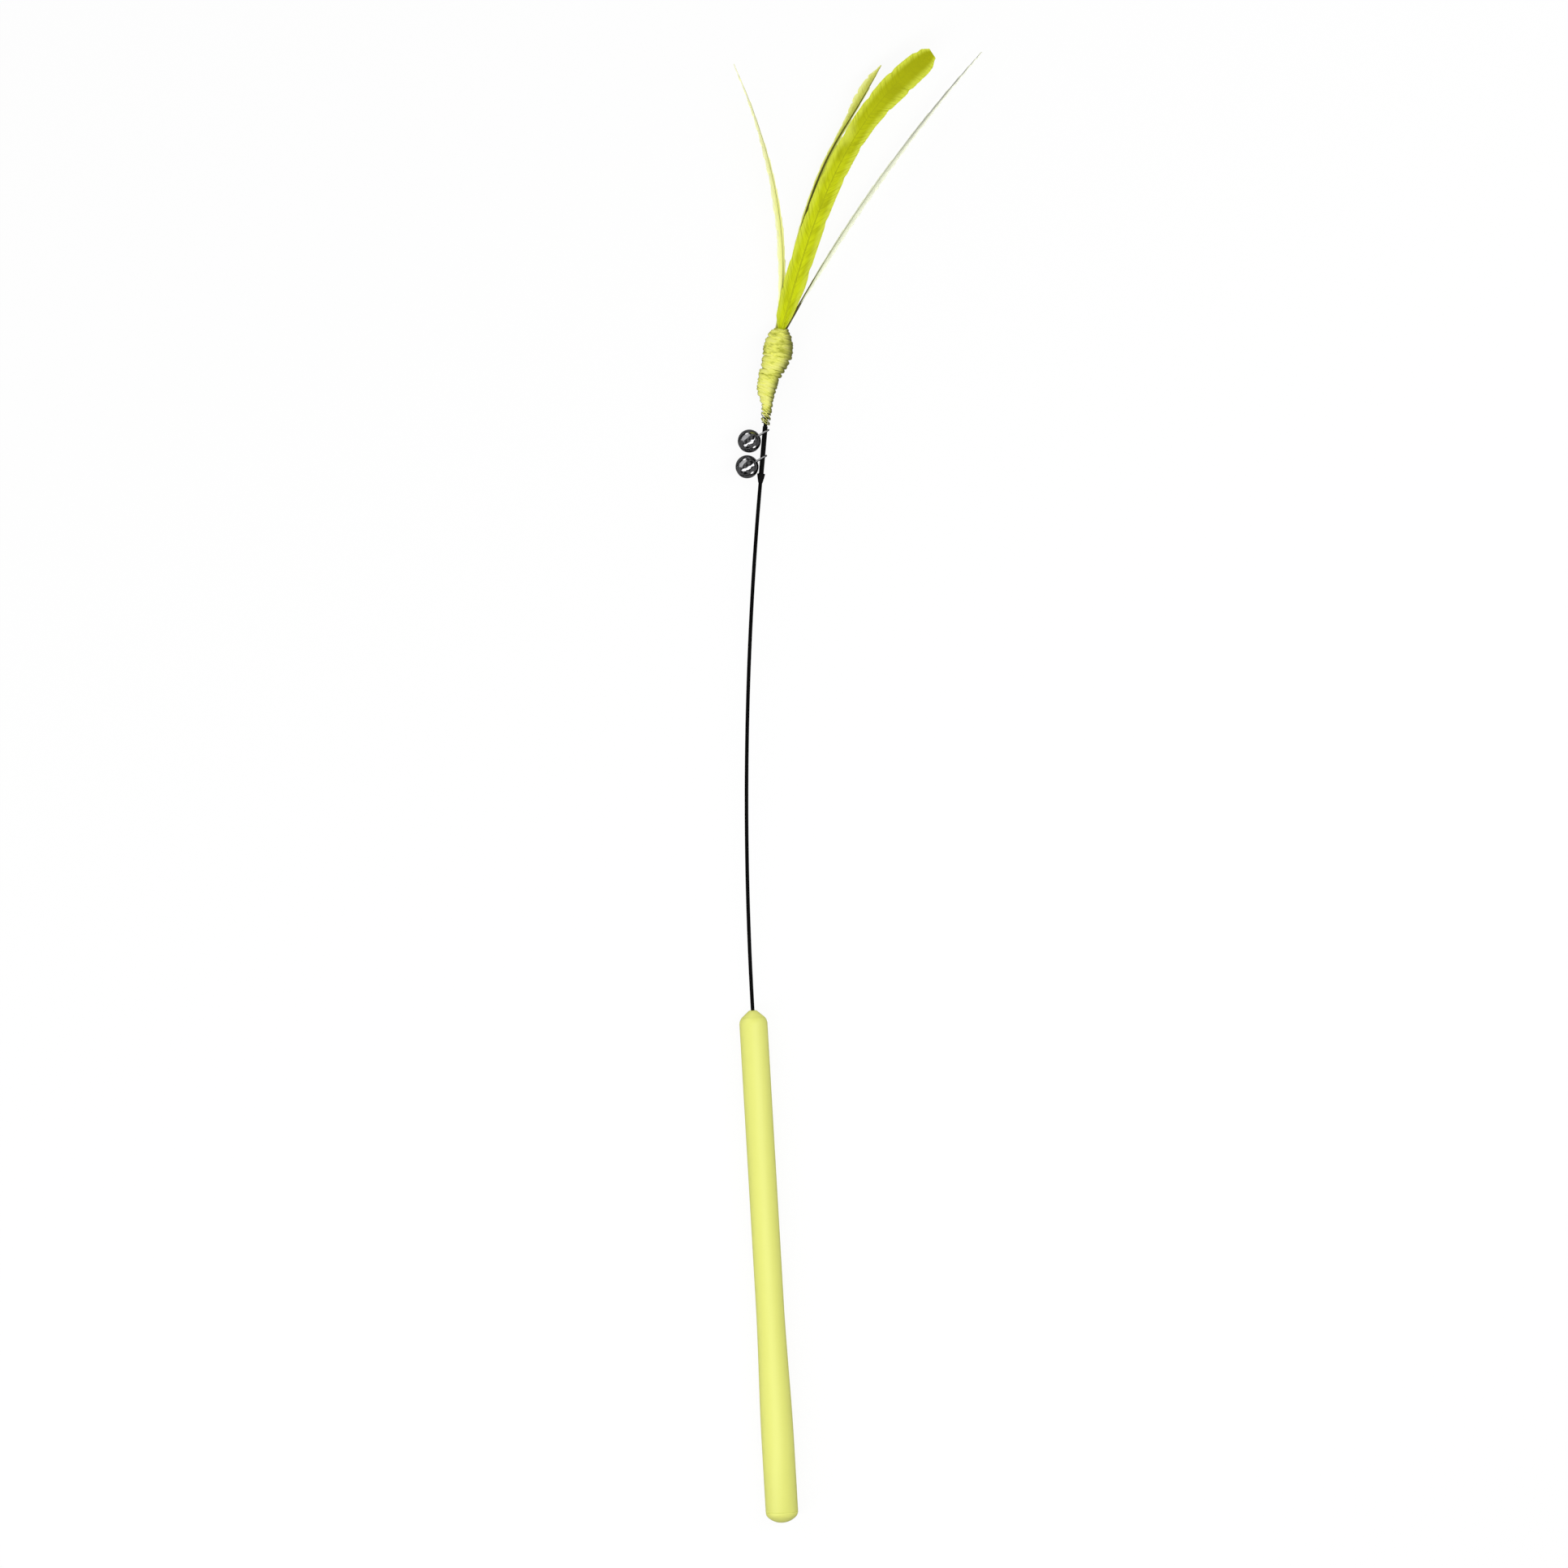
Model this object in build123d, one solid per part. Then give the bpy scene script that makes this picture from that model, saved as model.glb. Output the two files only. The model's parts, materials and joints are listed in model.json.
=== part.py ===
from build123d import *
import math
import os

# A cat teaser wand as it lies on a flat surface, in millimetres.
# The origin is on the handle's axis, at the middle of its straight butt.
# +Y runs along the handle towards the feathers and +Z points up.

# Handle
handle_length = 177.0
handle_diameter = 9.7
butt_diameter = 11.2
butt_length = 24.0
flare_length = 48.0
bore_diameter = 6.6
rim_width = 0.85
rim_height = 2.4
plug_fit = 0.03

# Domed cap in the butt
dome_height = 3.8
dome_shoulder_radius = 2.6
cap_spigot_length = 9.0
cap_wall = 1.2
cap_lead = 0.6

# Conical plug in the nose
nose_height = 2.4
nose_tip_diameter = 2.6
nose_spigot_length = 10.0

# Spring wire
wire_diameter = 1.3
wire_fit = 0.03
wire_bow_radius = 1250.0
wire_bow_length = 181.0
wire_end_length = 40.0

# Crimp that holds the wire's root behind the nose plug
crimp_diameter = 3.4
crimp_length = 7.0
crimp_waist_depth = 0.35
wire_root_length = 1.0

# Sleeve on the wire that carries the bells, with a stop collar at its lower end
sleeve_diameter = 1.7
sleeve_start = 1.2
sleeve_length = 19.6
collar_diameter = 2.7
collar_length = 3.2
collar_lip = 0.5
sleeve_mouth_wall = 0.12

# Bells
bell_diameter = 8.0
bell_wall = 0.4
bell_slit_width = 0.7
bell_slit_hole_diameter = 1.5
bell_slit_rise = 0.5
bell_tilt = 35.0
bell_sleeve_gap = 0.2
bell_floor_gap = 1.5
lower_loop_rise = 5.5
bell_spacing = 8.9
loop_wire_diameter = 0.6
loop_wire_sides = 6
loop_radius = 1.46
loop_gap = 0.08
loop_hole_fit = 0.05
loop_foot_length = 0.85
loop_foot_bend = 0.4
pellet_diameter = 2.4
pellet_edge = 0.5
pellet_gap = 0.05

# Thread binding
binding_start = 21.4
binding_length = 33.0
binding_diameter = 10.6
binding_turns = 18
core_sides = 24
binding_seat_gap = 0.3
thread_diameter = 0.95
thread_sides = 5
quill_fit = 0.05

# Along the binding: share of its length, share of its diameter, sideways shift as a share of its diameter
binding_shares = [
    (0.0, 0.395, 0.0),
    (0.2, 0.395, 0.0),
    (0.27, 0.47, -0.04),
    (0.34, 0.64, -0.07),
    (0.45, 0.70, -0.04),
    (0.53, 0.79, 0.025),
    (0.63, 0.89, 0.13),
    (0.73, 1.0, 0.2),
    (0.8, 1.0, 0.2),
    (0.88, 0.92, 0.205),
    (0.94, 0.79, 0.21),
    (1.0, 0.66, 0.235),
]

# Feathers
quill_diameter = 0.9
quill_depth = 9.0
vane_root_thickness = 0.6
vane_tip_thickness = 0.3
vane_edge_thickness = 0.12

# Share of the vane's length and of its full width, from the quill to the tip
blunt_vane_shares = [
    (0.0, 0.5), (0.03, 0.7), (0.12, 0.9), (0.3, 1.0), (0.62, 1.0),
    (0.84, 1.12), (0.95, 1.0), (0.98, 0.82), (1.0, 0.45),
]
slender_vane_shares = [
    (0.0, 0.11), (0.07, 0.5), (0.2, 0.86), (0.42, 1.0), (0.7, 1.0), (0.86, 0.88), (0.94, 0.64), (1.0, 0.12),
]
edge_vane_shares = [
    (0.0, 0.11), (0.07, 0.5), (0.2, 0.86), (0.42, 1.0), (0.66, 0.84), (0.86, 0.5), (1.0, 0.09),
]

# Each feather has its quill's place at the top of the binding, sideways and up, as shares of the core's
# radius there, and its lean from the wire, rise and roll in degrees, first at the quill and then at the tip.

# Broad feather in the middle
main_length = 110.6
main_width = 7.8
main_bare_quill = 1.0
main_place_shares = (0.14, 0.62)
main_lean_angles = (10.7, 51.6)
main_lean_power = 2
main_rise_angles = (1.5, 4.0)
main_roll_angles = (0.0, 12.0)

# Slender feather behind its left edge
pointed_length = 98.8
pointed_width = 5.6
pointed_bare_quill = 8.0
pointed_place_shares = (0.09, -0.05)
pointed_lean_angles = (2.9, 30.9)
pointed_lean_power = 1
pointed_rise_angles = (-0.5, -1.0)
pointed_roll_angles = (35.0, 45.0)

# Feather on the left, on its edge
left_length = 94.2
left_width = 7.2
left_bare_quill = 3.0
left_place_shares = (-0.72, -0.1)
left_lean_angles = (6.4, -30.3)
left_lean_power = 0.7
left_rise_angles = (0.5, 0.5)
left_roll_angles = (62.0, 84.0)

# Feather on the right, on its edge
right_length = 117.9
right_width = 7.2
right_bare_quill = 8.0
right_place_shares = (0.42, -0.6)
right_lean_angles = (25.0, 37.4)
right_lean_power = 1
right_rise_angles = (0.5, 0.5)
right_roll_angles = (-72.0, -86.0)

feathers = {
    "feather_main": dict(
        length=main_length, width=main_width, bare_quill=main_bare_quill, vane_shares=blunt_vane_shares,
        place_shares=main_place_shares, leans=main_lean_angles, lean_power=main_lean_power,
        rises=main_rise_angles, rolls=main_roll_angles,
    ),
    "feather_pointed": dict(
        length=pointed_length, width=pointed_width, bare_quill=pointed_bare_quill,
        vane_shares=slender_vane_shares, place_shares=pointed_place_shares, leans=pointed_lean_angles,
        lean_power=pointed_lean_power, rises=pointed_rise_angles, rolls=pointed_roll_angles,
    ),
    "feather_left": dict(
        length=left_length, width=left_width, bare_quill=left_bare_quill, vane_shares=edge_vane_shares,
        place_shares=left_place_shares, leans=left_lean_angles, lean_power=left_lean_power,
        rises=left_rise_angles, rolls=left_roll_angles,
    ),
    "feather_right": dict(
        length=right_length, width=right_width, bare_quill=right_bare_quill, vane_shares=edge_vane_shares,
        place_shares=right_place_shares, leans=right_lean_angles, lean_power=right_lean_power,
        rises=right_rise_angles, rolls=right_roll_angles,
    ),
}

# Steps along a feather's curve, and along a turn of thread when its gap is measured
feather_steps = 40
turn_steps = 24
overrun = 1.0

# Places along the handle
butt_low = -butt_length / 2
butt_high = butt_length / 2
flare_high = butt_high + flare_length
nose_tip = butt_low - dome_height + handle_length
tube_top = nose_tip - nose_height
plug_back = tube_top - nose_spigot_length

# Radii that pieces share
handle_radius = handle_diameter / 2
butt_radius = butt_diameter / 2
bore_radius = bore_diameter / 2
spigot_radius = bore_radius - plug_fit
wire_radius = wire_diameter / 2
wire_hole_radius = wire_radius + wire_fit
sleeve_radius = sleeve_diameter / 2
bell_radius = bell_diameter / 2
loop_wire_radius = loop_wire_diameter / 2
pellet_radius = pellet_diameter / 2
thread_radius = thread_diameter / 2
quill_radius = quill_diameter / 2

# The wand's tip starts where the wire's bow ends, and leans as the wire does there
bow_angle = math.degrees(wire_bow_length / wire_bow_radius)
tip_x = wire_bow_radius * (1 - math.cos(math.radians(bow_angle)))
tip_y = nose_tip + wire_bow_radius * math.sin(math.radians(bow_angle))
tip = Location((tip_x, tip_y, 0), (0, 0, -bow_angle))


def round_bar(direction, start, radius, length):
    bar = Cylinder(radius, length, align=(Align.CENTER, Align.CENTER, Align.MIN))
    return Plane(start, z_dir=direction).location * bar


def turned(edges):
    return revolve(make_face(edges), Axis.Y)


def ring_profile(points):
    return Polyline(*points, close=True).edges()


def make_handle_tube():
    """A tube that widens towards the butt and has a rounded shoulder at the nose."""
    rim_low = (handle_radius, tube_top - rim_height)
    rim_high = (handle_radius - rim_width, tube_top)
    shoulder = TangentArc(rim_low, rim_high, tangent=(0, 1))
    corners = [
        rim_high,
        (bore_radius, tube_top),
        (bore_radius, butt_low),
        (butt_radius, butt_low),
        (butt_radius, butt_high),
        (handle_radius, flare_high),
        rim_low,
    ]
    return turned([shoulder, *Polyline(*corners).edges()])


def make_end_cap():
    """A plug with a domed head: a round shoulder that runs into a flatter crown."""
    spigot_end = butt_low + cap_spigot_length
    cup_radius = spigot_radius - cap_wall
    shoulder_place = butt_radius - dome_shoulder_radius
    rise = dome_height - dome_shoulder_radius
    crown_radius = dome_shoulder_radius + (shoulder_place ** 2 + rise ** 2) / (2 * rise)
    crown_place = butt_low - dome_height + crown_radius
    crown_angle = math.degrees(math.atan2(shoulder_place, crown_place - butt_low))
    crown = CenterArc((0, crown_place), crown_radius, 270, crown_angle)
    shoulder_angle = 90 - crown_angle
    shoulder = CenterArc((shoulder_place, butt_low), dome_shoulder_radius, -shoulder_angle, shoulder_angle)
    corners = [
        (butt_radius, butt_low),
        (spigot_radius, butt_low),
        (spigot_radius, spigot_end - cap_lead),
        (spigot_radius - cap_lead, spigot_end),
        (cup_radius, spigot_end),
        (cup_radius, butt_low),
        (0, butt_low),
        (0, butt_low - dome_height),
    ]
    return turned([crown, shoulder, *Polyline(*corners).edges()])


def make_nose_plug():
    return turned(ring_profile([
        (handle_radius - rim_width, tube_top),
        (spigot_radius, tube_top),
        (spigot_radius, plug_back),
        (wire_hole_radius, plug_back),
        (wire_hole_radius, nose_tip),
        (nose_tip_diameter / 2, nose_tip),
    ]))


def make_anchor_crimp():
    outer = crimp_diameter / 2
    waist = outer - crimp_waist_depth
    low = plug_back - crimp_length
    third = crimp_length / 3
    return turned(ring_profile([
        (wire_hole_radius, low),
        (outer, low),
        (outer, low + third),
        (waist, low + third + crimp_waist_depth),
        (waist, plug_back - third - crimp_waist_depth),
        (outer, plug_back - third),
        (outer, plug_back),
        (wire_hole_radius, plug_back),
    ]))


def make_wand_wire():
    root = (0, plug_back - crimp_length - wire_root_length, 0)
    end = tip * Pos(0, wire_end_length, 0)
    path = Wire([
        Edge.make_line(root, (0, nose_tip, 0)),
        Edge.make_tangent_arc((0, nose_tip, 0), (0, 1, 0), (tip_x, tip_y, 0)),
        Edge.make_line((tip_x, tip_y, 0), end.position),
    ])
    section = Plane(root, z_dir=(0, 1, 0)) * Circle(wire_radius)
    return sweep(section, path)


def make_bell_sleeve():
    mouth = wire_hole_radius + sleeve_mouth_wall
    collar_top = sleeve_start + collar_length
    sleeve_top = sleeve_start + sleeve_length
    return tip * turned(ring_profile([
        (wire_hole_radius, sleeve_start),
        (mouth, sleeve_start),
        (collar_diameter / 2, collar_top - collar_lip),
        (collar_diameter / 2, collar_top),
        (sleeve_radius, collar_top),
        (sleeve_radius, sleeve_top),
        (wire_hole_radius, sleeve_top),
    ]))


# Each bell hangs to the left of the wire, with its loop leaning towards the handle by the bell's tilt.
# It keeps a gap to the surface that the butt lies on, which closes as the wand tips onto its thinner front.
tilt = math.radians(bell_tilt)
bell_reach = sleeve_radius + bell_sleeve_gap + bell_radius
loop_shift = loop_radius * math.cos(tilt) - sleeve_radius - loop_wire_radius - loop_gap
loop_height = (bell_reach - loop_shift) / math.cos(tilt)
droop = math.asin((butt_radius - bell_radius - bell_floor_gap) / bell_reach)
bell_side = Vector(-math.cos(droop), 0, -math.sin(droop))
bell_axis = bell_side * -math.cos(tilt) + Vector(0, math.sin(tilt), 0)


def bell_centre(place):
    along = sleeve_start + collar_length + place
    hole = bell_side * loop_shift + Vector(0, along, 0)
    return hole - bell_axis * loop_height


def bell_location(place):
    across = Vector(0, 1, 0).cross(bell_side)
    return Plane(bell_centre(place), x_dir=across, z_dir=bell_axis).location


def make_bell_shell(place):
    slit_depth = bell_radius + bell_slit_rise + overrun
    slit_span = 2 * (bell_radius + overrun)
    slit_middle = bell_slit_rise - slit_depth / 2
    leg_hole_height = bell_radius + overrun
    shell = Sphere(bell_radius) - Sphere(bell_radius - bell_wall)
    for turn in (45, 135):
        slit = Pos(0, 0, slit_middle) * Box(bell_slit_width, slit_span, slit_depth)
        hole = Pos(0, 0, bell_slit_rise) * Rot(90, 0, 0) * Cylinder(bell_slit_hole_diameter / 2, slit_span)
        shell -= Rot(0, 0, turn) * (slit + hole)
    for side in (-1, 1):
        leg_hole = Cylinder(loop_wire_radius + loop_hole_fit, leg_hole_height)
        shell -= Pos(side * loop_radius, 0, leg_hole_height / 2) * leg_hole
    return tip * bell_location(place) * shell


def make_bell_loop(place):
    ceiling = math.sqrt((bell_radius - bell_wall) ** 2 - (loop_radius + loop_wire_radius) ** 2)
    foot = ceiling - loop_wire_radius - loop_hole_fit
    inner = loop_radius - loop_foot_length
    bend = loop_radius - loop_foot_bend
    arch = Edge.make_three_point_arc(
        (-loop_radius, 0, loop_height), (0, 0, loop_height + loop_radius), (loop_radius, 0, loop_height)
    )
    path = Wire([
        Edge.make_line((-inner, 0, foot), (-bend, 0, foot)),
        Edge.make_tangent_arc((-bend, 0, foot), (-1, 0, 0), (-loop_radius, 0, foot + loop_foot_bend)),
        Edge.make_line((-loop_radius, 0, foot + loop_foot_bend), (-loop_radius, 0, loop_height)),
        arch,
        Edge.make_line((loop_radius, 0, loop_height), (loop_radius, 0, foot + loop_foot_bend)),
        Edge.make_tangent_arc((loop_radius, 0, foot + loop_foot_bend), (0, 0, -1), (bend, 0, foot)),
        Edge.make_line((bend, 0, foot), (inner, 0, foot)),
    ])
    section = Plane((-inner, 0, foot), z_dir=(-1, 0, 0)) * RegularPolygon(loop_wire_radius, loop_wire_sides)
    return tip * bell_location(place) * sweep(section, path)


def make_bell_pellet(place):
    drop = bell_radius - bell_wall - pellet_gap - math.hypot(pellet_radius, pellet_radius - pellet_edge)
    centre = bell_centre(place) - Vector(0, 0, drop)
    slug = Cylinder(pellet_radius, pellet_diameter)
    slug = chamfer(slug.edges().filter_by(GeomType.CIRCLE), pellet_edge)
    return tip * Pos(*centre) * slug


def between(shares, share, column):
    for low, high in zip(shares, shares[1:]):
        if share <= high[0]:
            part = (share - low[0]) / (high[0] - low[0])
            return low[column] + (high[column] - low[column]) * part
    return shares[-1][column]


def binding_radius(share):
    return between(binding_shares, share, 1) * binding_diameter / 2


def core_radius(share):
    return binding_radius(share) - thread_diameter - binding_seat_gap


def binding_centre(share):
    shift = between(binding_shares, share, 2) * binding_diameter
    return Vector(shift, binding_start + share * binding_length, 0)


def quill_top(place_shares):
    radius = core_radius(1)
    return binding_centre(1) + Vector(place_shares[0] * radius, 0, place_shares[1] * radius)


def make_binding_core():
    rings = []
    for share, _, _ in binding_shares:
        ring = RegularPolygon(core_radius(share), core_sides)
        rings.append(Plane(binding_centre(share), z_dir=(0, 1, 0)) * ring)
    core = loft(rings, ruled=True)
    core -= round_bar(Vector(0, 1, 0), Vector(0, binding_start - overrun, 0), wire_hole_radius,
                      wire_end_length - binding_start + overrun)
    for feather in feathers.values():
        direction = heading(feather["leans"][0], feather["rises"][0])
        quill_end = quill_top(feather["place_shares"]) - direction * quill_depth
        core -= round_bar(direction, quill_end, quill_radius + quill_fit, quill_depth + overrun)
    return tip * core


def thread_point(share):
    turn = 2 * math.pi * binding_turns * share
    radius = binding_radius(share) - thread_radius
    return binding_centre(share) + Vector(math.cos(turn), 0, math.sin(turn)) * radius


def thread_direction(share):
    step = 1 / (binding_turns * turn_steps)
    ahead = thread_point(min(1, share + step))
    behind = thread_point(max(0, share - step))
    return (ahead - behind).normalized()


def biarc(start, start_direction, end, end_direction):
    """Two tangent arcs from one point and direction to another."""
    chord = end - start
    total = start_direction + end_direction
    a = total.dot(total) - 4
    b = -2 * chord.dot(total)
    c = chord.dot(chord)
    if abs(a) < 1e-9:
        reach = -c / b
    else:
        reach = (-b - math.sqrt(b * b - 4 * a * c)) / (2 * a)
    first = start + start_direction * reach
    second = end - end_direction * reach
    middle = (first + second) * 0.5
    return [
        Edge.make_tangent_arc(start, start_direction, middle),
        Edge.make_tangent_arc(middle, second - first, end),
    ]


def make_binding_thread():
    halves = 2 * binding_turns
    shares = [i / halves for i in range(halves + 1)]
    first = thread_point(0)
    last = thread_point(1)
    lead = first - thread_direction(0) * thread_diameter
    tail = last + thread_direction(1) * thread_diameter
    edges = [Edge.make_line(lead, first)]
    for low, high in zip(shares, shares[1:]):
        edges += biarc(thread_point(low), thread_direction(low), thread_point(high), thread_direction(high))
    edges.append(Edge.make_line(last, tail))
    path = Wire(edges)
    section = Plane(lead, z_dir=thread_direction(0)) * RegularPolygon(thread_radius, thread_sides)
    print_thread_gap(edges)
    return tip * sweep(section, path)


def print_thread_gap(edges):
    points = []
    for edge in edges[1:-1]:
        points += [edge @ (i / 6) for i in range(6)]
    quarter = 6
    gap = math.inf
    for i, point in enumerate(points):
        for other in points[i + 3 * quarter:i + 6 * quarter]:
            gap = min(gap, (point - other).length)
    print("thread's least gap to itself:", round(gap - thread_diameter, 3), "mm")


def heading(lean, rise):
    lean = math.radians(lean)
    rise = math.radians(rise)
    return Vector(math.cos(rise) * math.sin(lean), math.cos(rise) * math.cos(lean), math.sin(rise))


def vane_section(point, across, direction, width, thickness):
    """Thickest along the shaft in the middle, and thin at both edges."""
    side = width / 2
    edge = vane_edge_thickness / 2
    ridge = thickness / 2
    outline = make_face(ring_profile([
        (-side, -edge), (-side, edge), (0, ridge), (side, edge), (side, -edge), (0, -ridge),
    ]))
    return Plane(point, x_dir=across, z_dir=direction) * outline


def make_feather(place_shares, length, width, bare_quill, vane_shares, leans, lean_power, rises, rolls):
    """A round quill, sunk in the binding, that carries a thin curved vane."""
    top = quill_top(place_shares)
    quill_direction = heading(leans[0], rises[0])
    step = (length - bare_quill) / feather_steps
    point = top + quill_direction * bare_quill
    sections = []
    for i in range(feather_steps + 1):
        share = i / feather_steps
        lean = leans[0] + (leans[1] - leans[0]) * share ** lean_power
        rise = rises[0] + (rises[1] - rises[0]) * share
        roll = math.radians(rolls[0] + (rolls[1] - rolls[0]) * share)
        direction = heading(lean, rise)
        level = direction.cross(Vector(0, 0, 1)).normalized()
        across = level * math.cos(roll) + direction.cross(level) * math.sin(roll)
        thickness = vane_root_thickness + (vane_tip_thickness - vane_root_thickness) * share
        vane_width = max(width * between(vane_shares, share, 1), thickness)
        sections.append(vane_section(point, across, direction, vane_width, thickness))
        point += direction * step
    quill = round_bar(
        quill_direction, top - quill_direction * quill_depth, quill_radius, quill_depth + bare_quill + overrun
    )
    return tip * (quill + loft(sections, ruled=True))


def make_parts():
    parts = {
        "handle_tube": make_handle_tube(),
        "end_cap": make_end_cap(),
        "nose_plug": make_nose_plug(),
        "anchor_crimp": make_anchor_crimp(),
        "wand_wire": make_wand_wire(),
        "bell_sleeve": make_bell_sleeve(),
        "binding_core": make_binding_core(),
        "binding_thread": make_binding_thread(),
    }
    for bell, place in (("lower_bell", lower_loop_rise), ("upper_bell", lower_loop_rise + bell_spacing)):
        parts[bell + "_shell"] = make_bell_shell(place)
        parts[bell + "_loop"] = make_bell_loop(place)
        parts[bell + "_pellet"] = make_bell_pellet(place)
    for name, feather in feathers.items():
        parts[name] = make_feather(**feather)
    return parts


os.makedirs("parts", exist_ok=True)
for node, solid in make_parts().items():
    export_step(solid, "parts/" + node + ".step")
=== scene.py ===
import json
import math
import random

import bmesh
import bpy
from mathutils import Matrix, Vector, noise


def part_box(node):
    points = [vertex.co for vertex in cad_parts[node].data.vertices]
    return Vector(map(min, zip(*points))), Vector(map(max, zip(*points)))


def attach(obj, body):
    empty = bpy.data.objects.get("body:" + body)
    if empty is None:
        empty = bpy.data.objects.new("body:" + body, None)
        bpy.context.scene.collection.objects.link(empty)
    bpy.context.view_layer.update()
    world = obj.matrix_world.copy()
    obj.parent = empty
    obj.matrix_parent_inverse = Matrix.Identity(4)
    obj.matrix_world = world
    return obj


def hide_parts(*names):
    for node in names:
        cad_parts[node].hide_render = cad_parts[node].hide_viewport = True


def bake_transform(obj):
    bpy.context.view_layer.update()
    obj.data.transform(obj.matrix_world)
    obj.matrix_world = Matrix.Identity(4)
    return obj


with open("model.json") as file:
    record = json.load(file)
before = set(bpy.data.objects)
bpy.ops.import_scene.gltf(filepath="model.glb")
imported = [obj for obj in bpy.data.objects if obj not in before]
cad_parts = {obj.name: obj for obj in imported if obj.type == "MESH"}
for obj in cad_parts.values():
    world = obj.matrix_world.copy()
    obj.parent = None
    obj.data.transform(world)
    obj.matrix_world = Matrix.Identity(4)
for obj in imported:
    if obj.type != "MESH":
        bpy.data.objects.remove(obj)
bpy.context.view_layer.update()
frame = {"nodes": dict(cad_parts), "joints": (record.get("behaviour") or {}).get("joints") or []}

# A cat teaser wand lying on a white table, seen from straight above. Sizes are in metres.
mm = 0.001
seam_gap = 0.0001 * mm
joints = {joint["name"]: joint for joint in frame["joints"]}

# Handle
butt_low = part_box("handle_tube")[0].y
tube_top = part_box("handle_tube")[1].y
butt_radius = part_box("handle_tube")[1].x
floor_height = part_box("handle_tube")[0].z
dome_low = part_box("end_cap")[0].y
nose_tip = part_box("nose_plug")[1].y
nose_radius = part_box("nose_plug")[1].x
handle_radius = 4.85 * mm
bore_radius = 3.3 * mm
butt_length = 24 * mm
flare_length = 48 * mm
rim_height = 2.4 * mm
dome_shoulder_radius = 2.6 * mm
cap_spigot_length = 9 * mm
nose_tip_radius = 1.3 * mm
nose_spigot_length = 10 * mm
moulded_edge = 0.16 * mm

# Wire, and the frame of the wand's tip where its bow ends
wire_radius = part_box("wand_wire")[1].z
wire_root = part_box("wand_wire")[0].y
wire_bow_radius = 1250 * mm
wire_end_length = 40 * mm
wire_sides = 20
lower_loop_place = 9.9 * mm
tip_axis = Vector(joints["lower_bell_swing"]["axis"]).normalized()
tip_side = tip_axis.cross(Vector((0, 0, 1)))
tip_start = Vector(joints["lower_bell_swing"]["pos_m"]) - tip_axis * lower_loop_place
tip = Matrix.Translation(tip_start) @ Matrix((tip_side, tip_axis, (0, 0, 1))).transposed().to_4x4()
bow_angle = math.atan2(tip_axis.x, tip_axis.y)
facing_y = Matrix.Rotation(math.radians(-90), 4, "X")

# Sleeve under the bells
sleeve_start = 1.2 * mm
sleeve_length = 19.6 * mm
sleeve_radius = 0.85 * mm
sleeve_wall = 0.12 * mm
collar_radius = 1.35 * mm
collar_length = 3.2 * mm
collar_lip = 0.5 * mm
sleeve_edge = 0.08 * mm

# Bells
bells = ("lower_bell", "upper_bell")
bell_radius = 4 * mm
bell_wall = 0.4 * mm
ball_segments = 72
ball_rings = 40
bell_tilt = math.radians(35)
slit_width = 0.7 * mm
slit_hole_radius = 0.75 * mm
slit_rise = 0.5 * mm
slit_lip = 0.07 * mm
slit_angles = (45, 135)
loop_radius = 1.46 * mm
loop_wire_radius = 0.3 * mm
loop_sides = 14
loop_height = 6.2065 * mm
loop_foot = 2.8 * mm
loop_foot_length = 0.85 * mm
loop_foot_bend = 0.4 * mm

# Yarn binding
binding_start = 21.4 * mm
binding_length = 33 * mm
binding_diameter = 10.6 * mm
strand_radius = 0.62 * mm
deep_strand_sink = 0.24 * mm
crossing_strand_radius = 0.7 * strand_radius
crossing_strand_rise = 0.02 * mm
tail_strand_radius = 0.26 * mm
tail_strand_sink = 0.1 * mm
strand_sides = 8
steps_per_turn = 30
yarn_turns = 19
crossing_turns = 7
tail_turns = 5
yarn_depth = 0.8 * mm
core_top_radius = 2.248 * mm
core_steps = 24
core_sides = 32
# Share of the binding's length, share of its diameter, and sideways shift as a share of its diameter
binding_shares = [
    (0.0, 0.395, 0.0), (0.2, 0.395, 0.0), (0.27, 0.47, -0.04), (0.34, 0.64, -0.07), (0.45, 0.70, -0.04),
    (0.53, 0.79, 0.025), (0.63, 0.89, 0.13), (0.73, 1.0, 0.2), (0.8, 1.0, 0.2), (0.88, 0.92, 0.205),
    (0.94, 0.79, 0.21), (1.0, 0.66, 0.235),
]
tail_share = 0.24
tail_taper = 0.24
# Painted shade added in the tail, on top of the flanks' painted shade
tail_shade = 0.5
tail_strand_share = 1.3 * tail_share
crown_share = 0.93
crown_drop = 0.2
# How far the unshaded side of the painted flank shade leans to the left, so the right flank is painted darker
unshaded_side_lean = math.radians(20)
# How each strand lies: the turns over which it wanders, swells and leans, and by how much
wander_turns = 1.6
wander_reach = 0.6 * mm
swell_turns = 1 / 1.3
swell_share = 0.25
swell_rise = 0.06 * mm
lean_turns = 3
turn_tilt = 0.7 * mm
tilt_change = 1.1 * mm
tail_thinning = 0.74
tail_thinning_speed = 1.6
tail_steadiness = 0.5

# Feathers
quill_radius = 0.45 * mm
quill_depth = 6 * mm
shaft_tip_radius = 0.07 * mm
vane_thickness = 0.1 * mm
vane_seam_gap = 0.001 * mm
vane_columns = 8
feather_steps = 40
# Barbs: their spacing and ridges, how they sweep and curve forward, and how clumps of them end and tilt
barb_spacing = 0.45 * mm
barb_ridge = 0.07 * mm
ridge_start = 0.25
sweep_fade = 0.6
barb_curve = 1.25
clump_end = 0.08
clump_tilt = 0.3
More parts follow.
